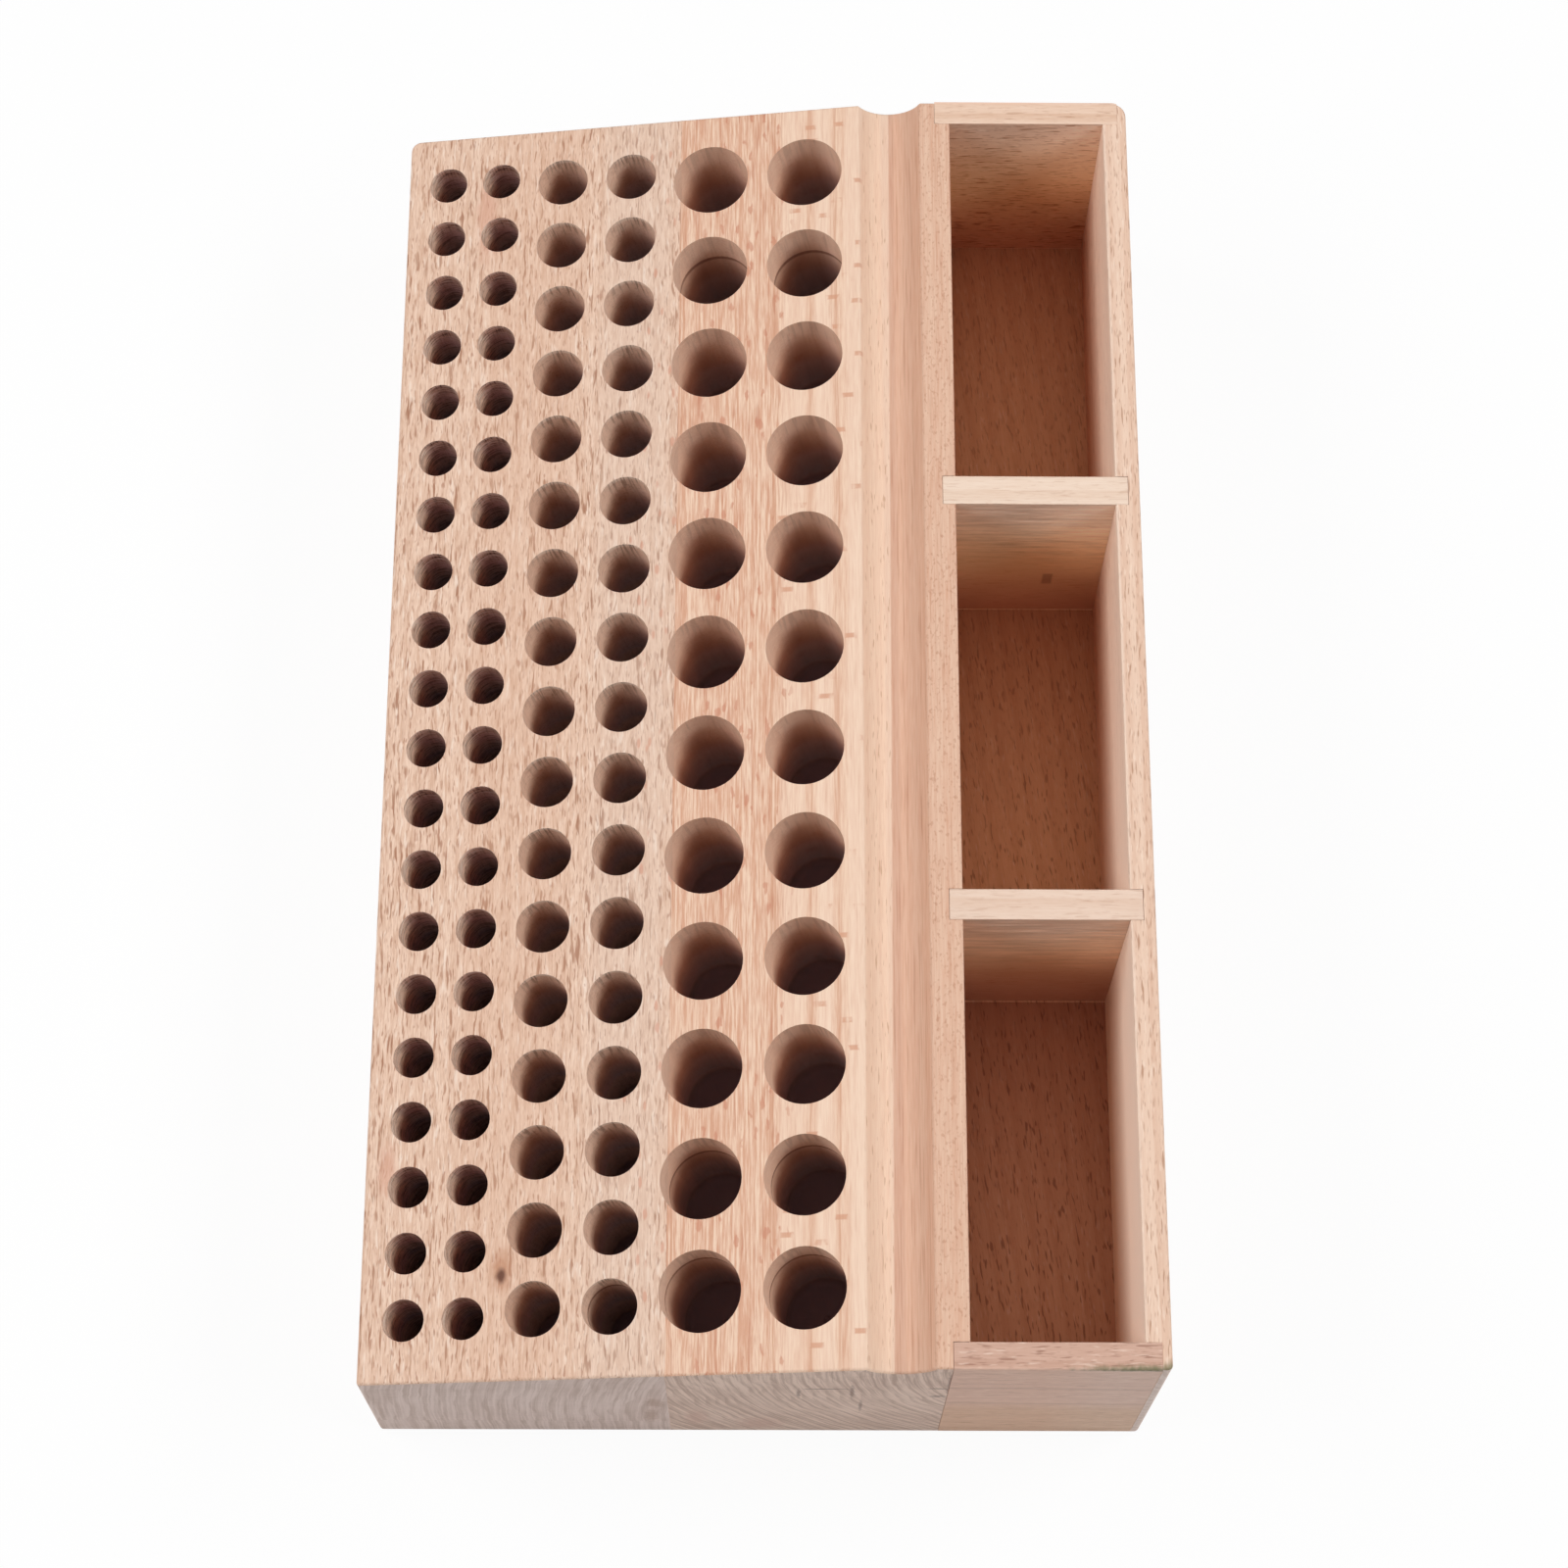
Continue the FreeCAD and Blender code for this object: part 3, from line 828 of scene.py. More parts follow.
def rear_grain(place):
    """Colour, height and dashes of the rear stave."""
    bent = wandering(place, 0.7, 16, 4, 21)
    level = up_slope(place) + (cloud(place, 90, 30, 31) - 0.5) * 1.6
    drilled = band(level, 56, 94.5, 0.3)
    busy = band(level, 52, 78, 1.5)
    years = rings(bent, REAR_PITH, 3.4, 23, 5)
    lines = cloud(bent, 40, 0.6, 24, detail=3, rough=0.75)
    fibre = cloud(bent, 5, 0.35, 28, detail=3, rough=0.6)
    torn = wandering(place, 1.8, 2.5, 1.2, 29)
    lens = flecks(torn, 6, 1.9, 0.27, 25, soft=0.4) * band(level, 62, 80, 2)
    ticks = flecks(torn, 3.4, 7, 0.19, 26, soft=0.5, metric="CHEBYCHEV") * band(level, 77, 94.3, 0.4)
    dashes = streaks(bent, 8, 0.5, 0.60, 0.72, 27)
    year_lines = band(level, 83.4, 84.2, 0.3) + band(level, 88.7, 89.5, 0.3) + band(level, 76.0, 77.2, 0.4)
    year_lines = year_lines + band(level, 57.0, 58.4, 0.4) + band(level, 65, 66, 0.4) * 0.5
    pale = band(level, 91, 94.6, 0.5) + band(level, 85, 88, 0.6) + band(level, 78, 82.5, 0.6) * 0.6
    tone = years * 0.2 + (lines - 0.5) * (busy * 1.4 + 1.2) + (fibre - 0.5) * (busy * 1.6 + 1.8)
    tone = tone + busy * 0.22 + 0.25
    colour = mixed(paint(241, 209, 184), paint(217, 166, 138), tone)
    colour = layered(
        colour,
        ((250, 224, 202), pale * drilled * 0.42),
        ((206, 150, 120), year_lines * drilled * step(lines, 0.36, 0.6) * 0.6),
        ((196, 132, 104), dashes * (busy * 0.4 + 0.15)),
        ((200, 130, 102), lens * 0.6),
        ((212, 154, 124), ticks * 0.75),
    )
    height = fibre * 0.5 - dashes * 0.4 - lens * 0.2
    return colour, height, dashes


def rear_beech():
    material, place, grain = wood_material("pink_beech_face", (0, 0, 0))
    colour, height, dashes = rear_grain(grain)
    across = axis_of(place, 1)
    edge = across + axis_of(place, 0) * 0.0043 + (cloud(place, 120, 30, 32) - 0.5) * 0.2
    pale = band(edge, 19.4, 24.7, 0.2)
    pink = step(edge, 24.5, 24.9) * step(across, 30.5, 32.5, 1.0, 0.6)
    specks = streaks(place, 3.0, 0.4, 0.62, 0.74, 33) * pale
    colour = layered(
        colour,
        ((246, 216, 191), pale * 0.5),
        ((196, 150, 116), specks * 0.6),
        ((212, 164, 138), pink * 0.6),
    )
    fine = cloud(place, 30, 0.5, 34, detail=3, rough=0.75) - 0.5
    dots = streaks(place, 0.9, 0.55, 0.55, 0.72, 35) * step(across, 30.8, 31.6)
    red = streaks(place, 14, 0.4, 0.56, 0.68, 36) * pink
    colour = mixed(colour, paint(180, 124, 96), dots * 0.4 + red * 0.35 + fine * pink * 0.9)
    # Painted shade along the bottom of the groove.
    colour = mixed(colour, (0.90, 0.90, 0.92, 1.0), band(across, 23.6, 26.2, 0.6), "MULTIPLY")
    return finish_wood(material, colour, height, dashes * 0.08 + 0.6)


front_face = front_beech()
rear_face = rear_beech()
print("stave faces:", front_face.name, "and", rear_face.name)

# %% [markdown]
# On the ends the same rings show as arcs. End grain drinks more of the light, so it is greyer and
# duller. Fine rays cross the rings, pointing at the pith.

# %% End grain
RAY_LENGTH = 7
RAY_WIDTH = 0.35
LINE_LENGTH = 26
LINE_WIDTH = 0.55


def end_grain(name, pith, spacing, seed, pale, dark, years_strength, sway=2.0, fine=2.0):
    """An end: rings about the pith, fine lines beside them, rays across them and faint patches."""
    material, place, _ = wood_material(name, (0, 0, 0))
    bent = wandering(place, 0.9, 30, 7, seed)
    years = rings(bent, pith, spacing, seed + 1, sway)
    angle = place.maths("ARCTAN2", axis_of(bent, 2) - pith[1], axis_of(bent, 1) - pith[0])
    around = angle * abs(pith[0])
    radius = from_pith(bent, pith)
    along_rays = place.node("ShaderNodeCombineXYZ", {}, {0: radius, 1: around})
    along_rings = place.node("ShaderNodeCombineXYZ", {}, {0: around, 1: radius})
    rays = cloud(along_rays, RAY_LENGTH, RAY_WIDTH, seed + 2)
    lines = cloud(along_rings, LINE_LENGTH, LINE_WIDTH, seed + 5, detail=2, rough=0.6)
    pale_lines = streaks(along_rings, LINE_LENGTH, LINE_WIDTH, 0.56, 0.68, seed + 6)
    patches = cloud(place, 30, 12, seed + 3)
    speck = cloud(place, 0.5, 0.5, seed + 4, detail=1)
    tone = years * years_strength + (rays - 0.5) * 0.5 + (lines - 0.5) * fine
    tone = tone + (patches - 0.5) * 0.9 + (speck - 0.5) * 0.4 - pale_lines * 0.35 + 0.35
    return material, place, mixed(pale, dark, tone), rays * 0.4 + speck * 0.4 - lines * 0.4


def marked(colour, place, mark, strength, *spots):
    """A colour with ragged marks on it, each given by its centre and its half sizes."""
    for centre, size in spots:
        colour = mixed(colour, mark, spot(place, centre, size, ragged=1.0) * strength)
    return colour


def front_end():
    pale, dark = paint(233, 212, 203), paint(202, 177, 165)
    material, place, colour, height = end_grain("pale_beech_end", FRONT_PITH, 3.0, 41, pale, dark, 0.4)
    browns = ((130, -19.5, 28), (3, 2.4, 6)), ((130, -20.5, 16), (3, 1.6, 8))
    colour = marked(colour, place, paint(166, 128, 106), 0.5, *browns)
    return finish_wood(material, colour, height, height * 0.1 + 0.7)


def rear_end():
    pale, dark = paint(238, 212, 196), paint(196, 166, 150)
    made = end_grain("pink_beech_end", REAR_PITH, 2.1, 51, pale, dark, 0.4, sway=3.0, fine=2.8)
    material, place, colour, height = made
    cracks = ((130, 16.9, 40), (3, 0.6, 8)), ((130, 18.8, 26), (3, 0.5, 7)), ((130, 7.1, 38), (3, 0.6, 6))
    level = ((130, 12, 42.1), (3, 6, 0.7)), ((130, 32.4, 42.8), (3, 2.4, 0.9))
    joint = ((130, 32.6, 35.4), (3, 2.2, 1.3)), ((130, 34.4, 48), (3, 0.5, 13))
    colour = marked(colour, place, paint(126, 98, 88), 0.6, *cracks, *level, *joint)
    reds = ((130, -12, 14), (3, 3, 10)), ((130, 0, 8), (3, 6, 8))
    colour = marked(colour, place, paint(206, 166, 150), 0.5, *reds)
    return finish_wood(material, colour, height, height * 0.1 + 0.7)


front_end_face = front_end()
rear_end_face = rear_end()
print("ends:", front_end_face.name, "and", rear_end_face.name)

# %% [markdown]
# Inside the holes the drill has cut through every layer of the stave. The walls show the same grain,
# rougher and browner. Over it lies painted shade that deepens with depth: the walls at the two ends of
# a hole, where the drill cut across the grain, follow one ramp of tones, and the smoother sides another.
# The small holes are torn the most and have a third ramp. Painted light brightens the walls that face
# the lamps, a painted highlight lines the mouths of the smaller holes at their ends, and painted shadow
# fills the ring grooves and the bottoms.
#
# All of this is written in terms of the two maps made with the holes. Depth is counted in diameters,
# because how much light reaches into a hole depends on its depth and width together. The ramps run from
# the mouth, at 0, to two diameters down, at 1.

# %% Walls of the holes
SMALL_END = 25
LARGE_START = 54
RAMP_END = 2.0
# Factors of painted shade on the hole walls, by depth from the mouth.
SIDE_SHADE_TONES = [
    (0.00, (1.00, 1.00, 1.00, 1)),
    (0.15, (1.00, 1.00, 1.00, 1)),
    (0.35, (0.97, 0.95, 0.93, 1)),
    (0.50, (0.86, 0.76, 0.77, 1)),
    (0.65, (0.66, 0.60, 0.70, 1)),
    (0.80, (0.72, 0.70, 0.92, 1)),
    (0.92, (0.80, 0.85, 1.00, 1)),
]
END_SHADE_TONES = [
    (0.00, (1.00, 1.00, 1.00, 1)),
    (0.06, (0.95, 0.95, 0.96, 1)),
    (0.15, (0.90, 0.91, 0.93, 1)),
    (0.30, (0.73, 0.72, 0.78, 1)),
    (0.40, (0.62, 0.58, 0.63, 1)),
    (0.50, (0.53, 0.48, 0.56, 1)),
    (0.65, (0.51, 0.53, 0.69, 1)),
    (0.80, (0.56, 0.66, 0.93, 1)),
    (0.92, (0.80, 0.85, 1.00, 1)),
]
SMALL_SHADE_TONES = [
    (0.00, (0.90, 0.80, 0.82, 1)),
    (0.06, (0.62, 0.46, 0.45, 1)),
    (0.10, (0.58, 0.44, 0.44, 1)),
    (0.22, (0.65, 0.51, 0.56, 1)),
    (0.30, (0.71, 0.57, 0.65, 1)),
    (0.40, (0.80, 0.71, 0.86, 1)),
    (0.50, (0.90, 0.93, 1.00, 1)),
    (0.65, (0.95, 1.00, 1.00, 1)),
    (0.80, (0.62, 0.62, 0.67, 1)),
]
DRILLED_WOOD = paint(232, 198, 175)
BOTTOM_SHADE = paint(134, 110, 115)
RING_SHADOW = (0.42, 0.34, 0.32, 1.0)
WARM_SIDE_SHADE = (0.95, 0.86, 0.78, 1.0)


def bore_wall(name, grain_of, seed):
    material, place, grain = wood_material(name, (0, 0, 0))
    colour, height, _ = grain_of(grain)
    wall = place.node("ShaderNodeUVMap", {"uv_map": BORE_MAP}, {})
    turn, deep = axis_of(wall, 0), axis_of(wall, 1)
    facing = turn.maths("COSINE", turn * (2 * math.pi))
    end = step(facing.maths("ABSOLUTE", facing), 0.45, 0.95)
    sideways = turn.maths("SINE", turn * (2 * math.pi))
    right = step(sideways, 0.1, 0.8)
    left = step(sideways, -0.5, 0.0, 1.0, 0.0)
    size = up_slope(place)
    small = step(size, SMALL_END - 1, SMALL_END + 1, 1.0, 0.0)
    large = step(size, LARGE_START - 1, LARGE_START + 1)
    colour = mixed(colour, DRILLED_WOOD, large * 0.2 + 0.5)
    # Painted highlight just inside the mouth, at the two ends of the smaller holes.
    rim_highlight = (1 - large) * end * step(deep, 0.05, 0.14, 1.0, 0.0)
    colour = mixed(colour, paint(250, 228, 210), rim_highlight * (0.85 - small * 0.35))

    hole = axis_of(place, 0) * 0.1
    near_mouth = step(deep, 0.15, 0.65, 1.0, 0.0)
    drawn_place = place.node("ShaderNodeCombineXYZ", {}, {0: turn * 64, 1: deep * 1.5, 2: hole})
    torn_place = place.node("ShaderNodeCombineXYZ", {}, {0: turn * 6, 1: deep * 17 + turn * 9, 2: hole * 3})
    fibres = cloud(drawn_place, 1, 1, seed, 1)
    torn = cloud(torn_place, 1, 1, seed + 1)
    chips = cloud(torn_place, 1, 1, seed + 2)
    drawn = step(fibres, 0.48, 0.66) * (near_mouth * 0.8 + 0.2) * (end * 0.8 + 0.2) * (1 - large * 0.6)
    colour = mixed(colour, paint(96, 60, 46), drawn * 0.5 + step(torn, 0.50, 0.60) * small * 0.5)
    colour = mixed(colour, paint(250, 228, 210), step(chips, 0.48, 0.62) * small * near_mouth * 0.85)

    # Painted shade that deepens down each hole: for the sides, the ends and the ends of small holes, with
    # more on the deep sides of small holes.
    side_shade, end_shade, small_shade = [
        deep.node("ShaderNodeValToRGB", {"stops": stops}, {0: deep / RAMP_END})
        for stops in (SIDE_SHADE_TONES, END_SHADE_TONES, SMALL_SHADE_TONES)
    ]
    colour = mixed(colour, mixed(side_shade, end_shade, end), 1.0, "MULTIPLY")
    colour = mixed(colour, small_shade, small * end, "MULTIPLY")
    colour = mixed(colour, (0.95, 0.82, 0.82, 1.0), small * (1 - end) * step(deep, 0.7, 1.0), "MULTIPLY")
    # Painted shade, warm and darker, on the ends at mid depth, then painted light and shade by which way
    # each wall faces the lamps.
    middle = band(deep, 0.45, 1.0, 0.15) * end * (1 - small)
    colour = mixed(colour, WARM_SIDE_SHADE, middle * left.maths("MAXIMUM", left, large * (1 - right)), "MULTIPLY")
    colour = mixed(colour, (0.88, 0.82, 0.82, 1.0), middle * left, "MULTIPLY")
    shallow = step(deep, 0.3, 0.5, 1.0, 0.0)
    lit_side = (1 - end) * (1 - right) * band(deep, 0.6, 1.4, 0.25) * large * 0.3
    lit_end = right * end * (0.3 + large * 0.1 - small * 0.5 - shallow * (0.12 + large * 0.1))
    dim_side = (1 - end) * left * small * band(deep, 0.2, 0.45, 0.1) * 0.2
    colour = brightened(colour, lit_side + lit_end + small * left * 0.12 - dim_side + 1)
    # Painted shadow in the groove where the drill stopped, and lighter painted shade below it.
    ring = place.node("ShaderNodeUVMap", {"uv_map": RING_MAP}, {})
    colour = mixed(colour, RING_SHADOW, axis_of(ring, 0) * 0.8 + axis_of(ring, 1) * 0.2, "MULTIPLY")
    # Painted shade at the bottom of each hole.
    colour = mixed(colour, BOTTOM_SHADE, step(depth_below(place), 24.8, 27.9))
    return finish_wood(material, colour, fibres * 0.8 + torn * small * 3.0, height * 0.05 + 0.68)


front_bore = bore_wall("pale_beech_drilled", front_grain, 61)
rear_bore = bore_wall("pink_beech_drilled", rear_grain, 62)
print("hole walls:", front_bore.name, "and", rear_bore.name)

# %% [markdown]
# The tray's boards are thin and each is cut from another plank. The end walls and the dividers have
# their grain running across the stand, so their coordinates are turned by a quarter. Inside the tray,
# painted shade makes the wood darker and redder towards the floor, and painted light makes it paler near
# the rim. The far wall of each bay gets painted light and shade from the two lamps, and each bay's floor
# gets painted shade that is darkest at its far end, with painted light towards its near end.

# %% Boards of the tray
TRAY_SHADE_DEPTHS = (8, 52)
WARM_SHADE_DEPTHS = (28, 62)
TRAY_SHADE = (0.74, 0.51, 0.60, 1.0)
WARM_SHADE_TINT = (1.0, 0.90, 0.60, 1.0)
WALL_SHADE = (0.74, 0.51, 0.43, 1.0)
PALE_WOOD_AND_LIGHT = paint(252, 230, 212)


def inside_tray(colour, place, inside, rim_light, shade_tint=TRAY_SHADE):
    """Painted light, pale, near the rim of the tray, and painted shade, darker and redder, towards its
    bottom.
    """
    lower = step(axis_of(place, 2), *TRAY_SHADE_DEPTHS, 1.0, 0.0)
    colour = mixed(colour, PALE_WOOD_AND_LIGHT, (1 - lower) * inside * rim_light)
    return mixed(colour, shade_tint, lower * inside, "MULTIPLY")


def under_rim(place):
    """1 on the sides of a board and 0 on its top edge."""
    return step(axis_of(place, 2), 59.7, 60.2, 1.0, 0.0)


def across_tray(colour, place, inside):
    """The far wall of a bay: painted shade, warmer below the rim, and painted light and shade, darker on
    its left and lighter on its right.
    """
    up = axis_of(place, 2)
    colour = mixed(colour, WARM_SHADE_TINT, step(up, *WARM_SHADE_DEPTHS, 1.0, 0.0) * inside, "MULTIPLY")
    sideways = step(axis_of(place, 1), 44, 66, -0.14, 0.2)
    return brightened(colour, sideways * step(up, 20, 38) * under_rim(place) * inside + 1)


def board_grain(grain, pale, dark, mark, spacing, seed, marks):
    """Colour, height and dashes of a thin board."""
    bent = wandering(grain, 0.6, 8, 2, seed)
    bands = cloud(bent, 140, 6, seed + 1)
    years = rings(bent, (200, 60), spacing, seed + 2, 1.2)
    fibre = cloud(bent, 7, 0.35, seed + 3, detail=3, rough=0.6)
    dashes = streaks(bent, 4.2, 0.45, 0.62, 0.72, seed + 4)
    small = streaks(bent, 2.2, 0.4, 0.58, 0.72, seed + 6)
    glints = streaks(bent, 3.2, 0.45, 0.60, 0.74, seed + 5)
    tone = bands * 0.5 + years * 0.4 + (fibre - 0.5) * 1.2
    colour = mixed(pale, dark, tone)
    colour = mixed(colour, PALE_WOOD_AND_LIGHT, glints * marks * 0.6)
    colour = mixed(colour, mark, dashes * marks)
    colour = mixed(colour, mark, small * marks * 0.6)
    return colour, fibre * 0.5 - dashes * 0.6, dashes


def wall_beech():
    material, place, grain = wood_material("wall_beech_face", (30, 20, 10))
    pale, dark, mark = paint(241, 211, 189), paint(222, 182, 157), paint(178, 130, 102)
    colour, height, dashes = board_grain(grain, pale, dark, mark, 3.2, 71, marks=0.75)
    inside = step(axis_of(place, 1), 68.9, 69.6, 1.0, 0.0)
    # Painted light on the inner face of the outer wall, stronger towards the near end, where its painted
    # shade is also weaker.
    light_toward_near_end = step(axis_of(place, 0), -60, 80)
    colour = mixed(colour, PALE_WOOD_AND_LIGHT, inside * light_toward_near_end * under_rim(place) * 0.9)
    shade_tint = mixed(WALL_SHADE, (1.0, 0.95, 0.92, 1.0), light_toward_near_end)
    colour = inside_tray(colour, place, inside, 0.45, shade_tint)
    stain = spot(place, (130.2, 72.6, 60.4), (2.4, 2.6, 2.4), ragged=0.8)
    colour = mixed(colour, paint(112, 112, 78), stain * 0.8)
    return finish_wood(material, colour, height, dashes * 0.08 + 0.62)


def end_beech(name, offset, pale, dark, mark, seed, marks, top_marks):
    material, place, grain = wood_material(name, offset, grain_turn=90)
    marks = step(axis_of(place, 2), 59.7, 60.2, marks, top_marks)
    colour, height, dashes = board_grain(grain, pale, dark, mark, 3.4, seed, marks)
    along = axis_of(place, 0)
    from_middle = along.maths("ABSOLUTE", along)
    inside = step(from_middle, 125.1, 125.7, 1.0, 0.0)
    colour = across_tray(inside_tray(colour, place, inside, 0.1), place, inside)
    outer = step(from_middle, 129.3, 129.8)
    up = axis_of(place, 2) + axis_of(place, 1) * 0.045 + (cloud(grain, 50, 8, seed + 9) - 0.5) * 3
    outside = mixed(paint(234, 190, 154), paint(242, 202, 181), step(up, 22, 34))
    level_lines = band(up, 30.6, 31.2, 0.4) + band(up, 44.6, 45.8, 0.6) * 0.7
    level_lines = level_lines + band(up, 48.6, 49.6, 0.6) * 0.4
    colour = mixed(colour, outside, outer * 0.5)
    colour = mixed(colour, (1.0, 1.07, 1.12, 1.0), step(axis_of(place, 1), 50, 66) * outer, "MULTIPLY")
    return material, place, colour, height, dashes, outer * level_lines


def near_end_beech():
    pale, dark, mark = paint(217, 179, 160), paint(192, 150, 130), paint(142, 96, 78)
    made = end_beech("end_beech_near", (5, 0, 90), pale, dark, mark, 81, 0.75, 0.6)
    material, place, colour, height, dashes, level_line = made
    stain = spot(place, (130.4, 68, 60.6), (1.9, 17, 1.9), ragged=0.8)
    colour = layered(colour, ((112, 112, 78), stain * 0.9), ((150, 106, 86), level_line * 0.3))
    return finish_wood(material, colour, height, dashes * 0.08 + 0.62)


def far_end_beech():
    pale, dark, mark = paint(241, 211, 189), paint(219, 180, 153), paint(170, 118, 84)
    made = end_beech("end_beech_far", (12, 7, 40), pale, dark, mark, 91, 0.95, 0.35)
    material, _, colour, height, dashes, _ = made
    return finish_wood(material, colour, height, dashes * 0.08 + 0.62)


def divider_beech():
    material, place, grain = wood_material("divider_beech_face", (3, 9, 21), grain_turn=90)
    pale, dark, mark = paint(242, 219, 200), paint(226, 194, 170), paint(196, 152, 124)
    colour, height, dashes = board_grain(grain, pale, dark, mark, 4.2, 101, marks=0.3)
    along, across, up = [axis_of(place, index) for index in range(3)]
    from_far = along.maths("ABSOLUTE", along) - 40
    slant = up + (across - 55) * 0.15
    rough = streaks(grain, 9, 1.1, 0.44, 0.62, 107) * band(slant, 51, 59, 1.5)
    combed = (cloud(grain, 12, 1.2, 108, detail=3, rough=0.6) - 0.5) * band(slant, 34, 60, 6)
    combed = combed * under_rim(place)
    inside = step(from_far, 0.3, 1.2, 1.0, 0.75)
    colour = across_tray(inside_tray(colour, place, inside, 0.1), place, inside)
    # Painted shade on the near divider, darker lower down.
    shade_on_near_divider = step(along, 0, 10) * step(up, 22, 50, 1.0, 0.0)
    colour = mixed(colour, (0.82, 0.74, 0.76, 1.0), shade_on_near_divider, "MULTIPLY")
    colour = brightened(mixed(colour, PALE_WOOD_AND_LIGHT, rough * under_rim(place) * 0.4), combed * 0.9 + 1)
    colour = mixed(colour, (0.96, 0.93, 0.93, 1.0), step(along, 0, 10), "MULTIPLY")
    dot = band(across, 57.0, 59.0, 0.3) * band(up, 22.6, 27.3, 0.5) * band(along, -41, -39, 0.3)
    colour = mixed(colour, paint(112, 60, 44), dot * 0.5)
    return finish_wood(material, colour, height - rough, dashes * 0.08 + 0.6)


FLOOR_START = 125
BAY_PITCH = 85.5
BAY_FAR_SHADE = (0.86, 0.74, 0.69, 1.0)
BAY_NEAR_LIGHT = (1.40, 1.63, 1.66, 1.0)
NEAR_BAY = (0.83, 0.79, 0.86, 1.0)


def floor_beech():
    material, place, grain = wood_material("floor_beech_face", (9, 2, 5), grain_turn=-7)
    pale, dark, mark = paint(212, 158, 123), paint(198, 141, 106), paint(120, 70, 46)
    colour, height, dashes = board_grain(grain, pale, dark, mark, 4, 111, marks=0.2)
    groups = step(axis_of(place, 0), -110, 110, 0.3, 0.6)
    ticks = streaks(wandering(grain, 0.5, 6, 2, 117), 2.8, 0.55, 0.60, 0.70, 118) * groups
    colour = mixed(colour, mark, ticks)
    # Painted shade at the far end of each bay and painted light at its near end.
    bays = (axis_of(place, 0) + FLOOR_START) / BAY_PITCH
    along_bay = bays.maths("FRACT", bays)
    colour = mixed(colour, mixed(BAY_FAR_SHADE, BAY_NEAR_LIGHT, along_bay), 1.0, "MULTIPLY")
    colour = mixed(colour, NEAR_BAY, step(axis_of(place, 0), 40, 46), "MULTIPLY")
    return finish_wood(material, colour, height - ticks, dashes * 0.08 + 0.62)


def board_end(name, pale, dark, seed):
    material, _, colour, height = end_grain(name, (90, 60), 2.6, seed, pale, dark, 0.5)
    return finish_wood(material, colour, height, height * 0.1 + 0.7)


wall_end = board_end("wall_beech_end", paint(237, 218, 209), paint(220, 198, 186), 121)
board_end_face = board_end("board_beech_end", paint(216, 188, 168), paint(186, 152, 130), 131)
print("ends of the boards:", wall_end.name, "and", board_end_face.name)

# %% [markdown]
# Each piece takes up to three finishes: for its long grain, for its ends, and for the walls of its
# holes. The slot names tell which pieces are of the same wood.

# %% Put the finishes on the pieces


def dress(piece, slot, *materials):
    """Gives a piece its finishes: long grain, end grain and cut wood."""
    for index in (LONG_GRAIN, END_GRAIN, CUT_WOOD):
        piece.data.materials[index] = materials[min(index, len(materials) - 1)]
    print(piece.name, "is", slot)


dress(front_piece, "pale_beech", front_face, front_end_face, front_bore)
dress(rear_piece, "pink_beech", rear_face, rear_end_face, rear_bore)
dress(outer_piece, "wall_beech", wall_beech(), wall_end)
dress(near_end_piece, "end_beech", near_end_beech(), board_end_face)
dress(far_end_piece, "end_beech", far_end_beech(), board_end_face)
divider_face = divider_beech()
dress(near_divider_piece, "divider_beech", divider_face, board_end_face)
dress(far_divider_piece, "divider_beech", divider_face, board_end_face)
dress(floor_piece, "floor_beech", floor_beech(), board_end_face)

# %% [markdown]
# The stand is shown on plain white. The floor is a real one, so it keeps a faint shadow: most of what
# the camera sees there is a steady white, and the rest is the light that falls on it. The world is
# white to the camera and in reflections, and lights the stand softly.

# %% Floor, light and view
FLOOR_SIZE = 4.0
WHITE = (1.0, 1.0, 1.0, 1.0)
STEADY = 0.93
SKY = 0.15
LAMP_AWAY = 1.2
LAMP_LENGTH = 1.0
LAMPS = {"left_softbox": (-43, 0.50, 9.2), "right_softbox": (41, 0.36, 8.6)}


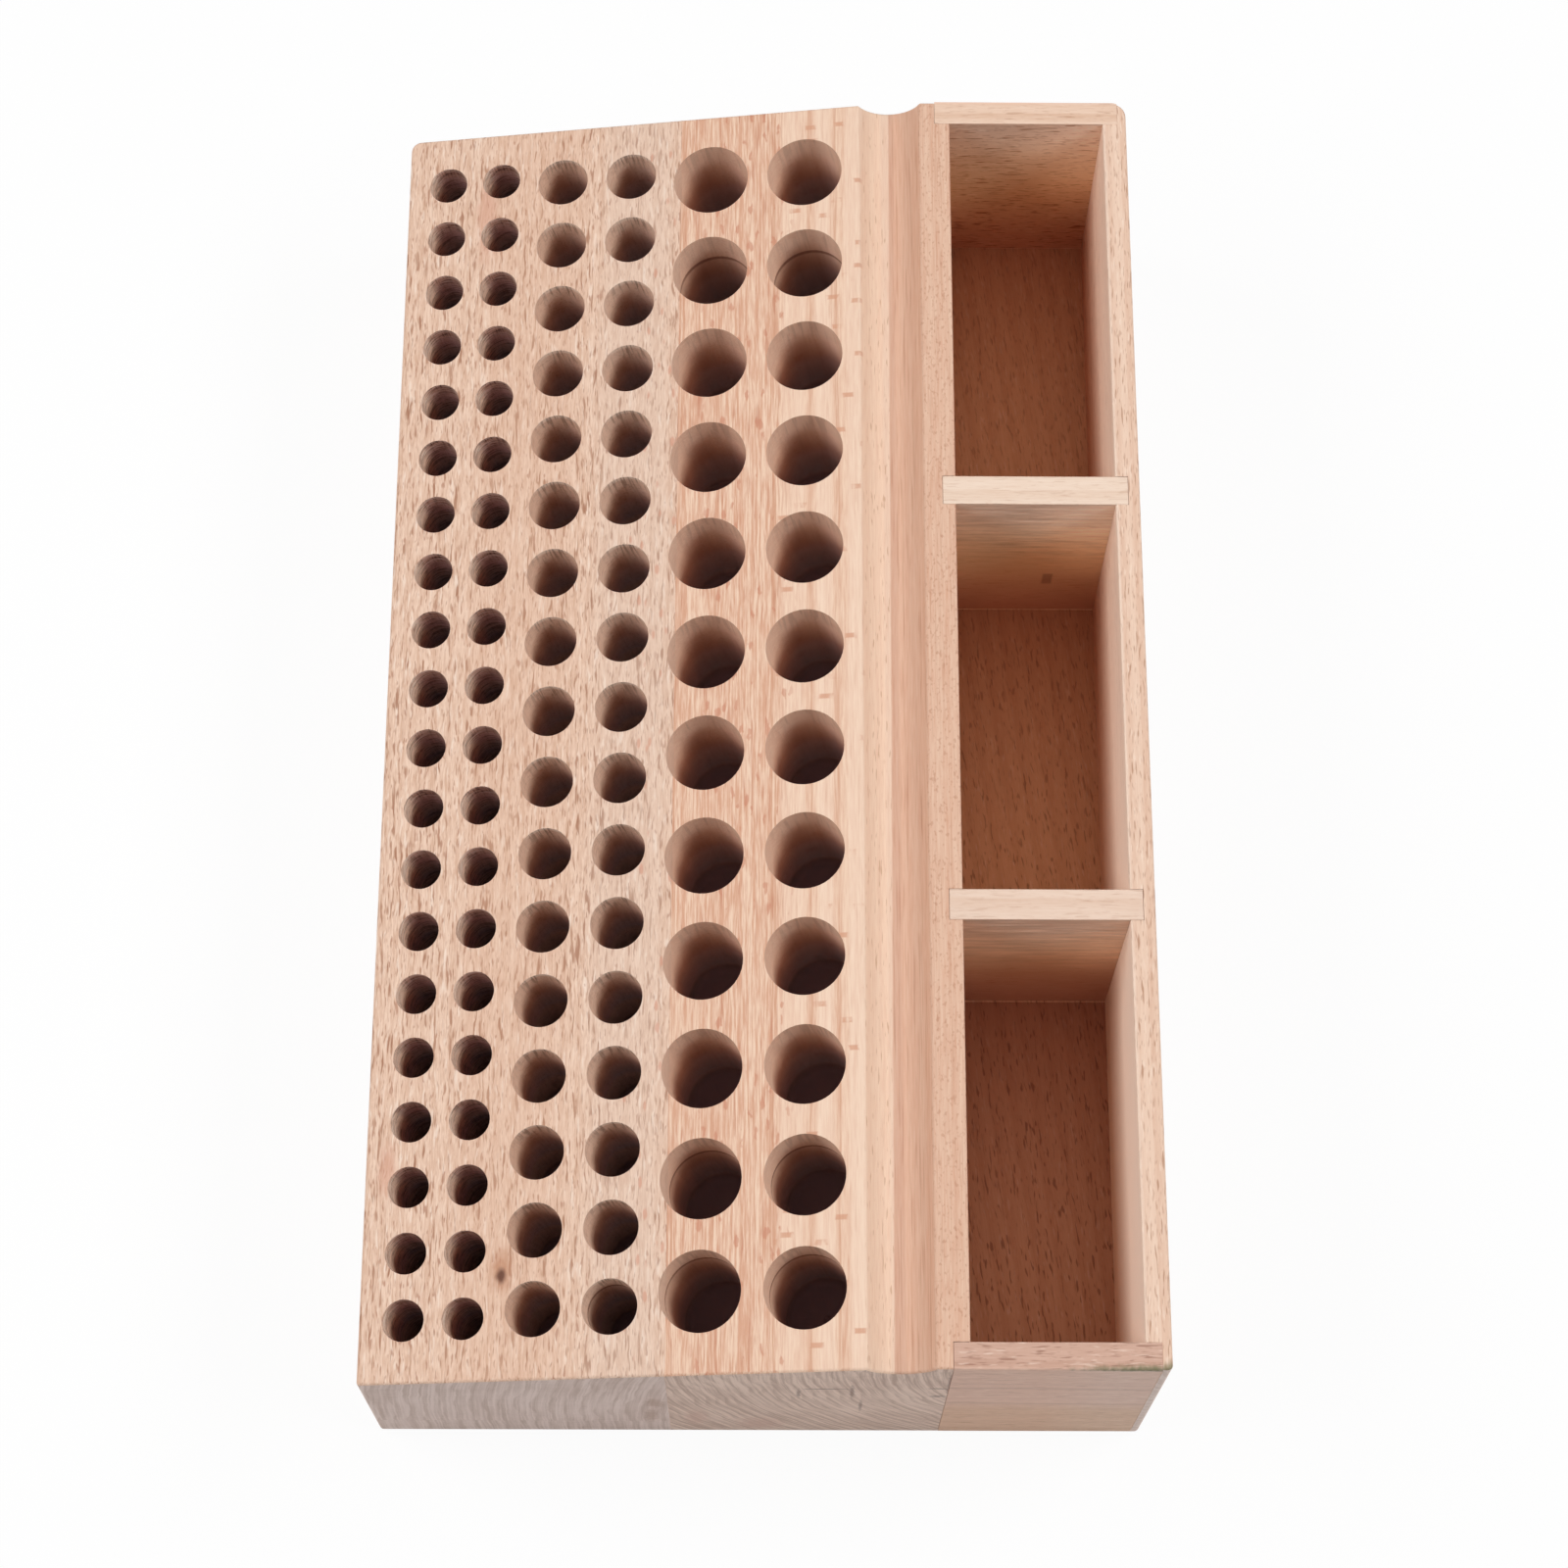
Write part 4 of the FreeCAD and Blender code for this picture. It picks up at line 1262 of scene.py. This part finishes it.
def seen_directly(wire):
    """1 for what the camera sees itself, in a reflection or through glass."""
    outputs = wire.tree.nodes.new("ShaderNodeLightPath").outputs
    names = ("Is Camera Ray", "Is Glossy Ray", "Is Transmission Ray")
    seen, mirrored, through = [Wire(wire.tree, outputs[name]) for name in names]
    return seen.maths("MINIMUM", seen + mirrored + through, 1.0)


def floor_material():
    material = bpy.data.materials.new("white_floor")
    material.use_nodes = True
    tree = material.node_tree
    tree.nodes.clear()
    lit = Wire(tree, tree.nodes.new("ShaderNodeBsdfDiffuse").outputs[0])
    lit.socket.node.inputs["Color"].default_value = (0.92, 0.92, 0.92, 1.0)
    steady = lit.node("ShaderNodeEmission", {}, {"Color": WHITE, "Strength": 1.0})
    both = lit.node("ShaderNodeMixShader", {}, {0: seen_directly(lit) * STEADY, 1: lit, 2: steady})
    lit.node("ShaderNodeOutputMaterial", {}, {"Surface": both})
    return material


def floor():
    edit = bmesh.new()
    bmesh.ops.create_grid(edit, x_segments=1, y_segments=1, size=FLOOR_SIZE / 2)
    mesh = bpy.data.meshes.new("floor")
    edit.to_mesh(mesh)
    edit.free()
    mesh.materials.append(floor_material())
    piece = bpy.data.objects.new("floor", mesh)
    bpy.context.scene.collection.objects.link(piece)


def sky():
    world = bpy.data.worlds.new("white_studio")
    world.use_nodes = True
    bpy.context.scene.world = world
    tree = world.node_tree
    background = tree.nodes["Background"]
    background.inputs["Color"].default_value = WHITE
    start = Wire(tree, background.outputs[0])
    strength = seen_directly(start) * (1 - SKY) + SKY
    tree.links.new(strength.socket, background.inputs["Strength"])


def lamp(name, lean, height, power):
    """A long softbox beside the stand, leaning from straight overhead by an angle."""
    data = bpy.data.lights.new(name, "AREA")
    data.shape = "RECTANGLE"
    data.size = LAMP_LENGTH
    data.size_y = height
    data.energy = power
    item = bpy.data.objects.new(name, data)
    turn = math.radians(lean)
    item.location = LAMP_AWAY * Vector((0, math.sin(turn), math.cos(turn)))
    item.rotation_euler = (-item.location).to_track_quat("-Z", "Y").to_euler()
    bpy.context.scene.collection.objects.link(item)
    print(name, "at", [round(value, 2) for value in item.location])


floor()
sky()
for name, settings in LAMPS.items():
    lamp(name, *settings)
bpy.context.scene.view_settings.view_transform = "Standard"
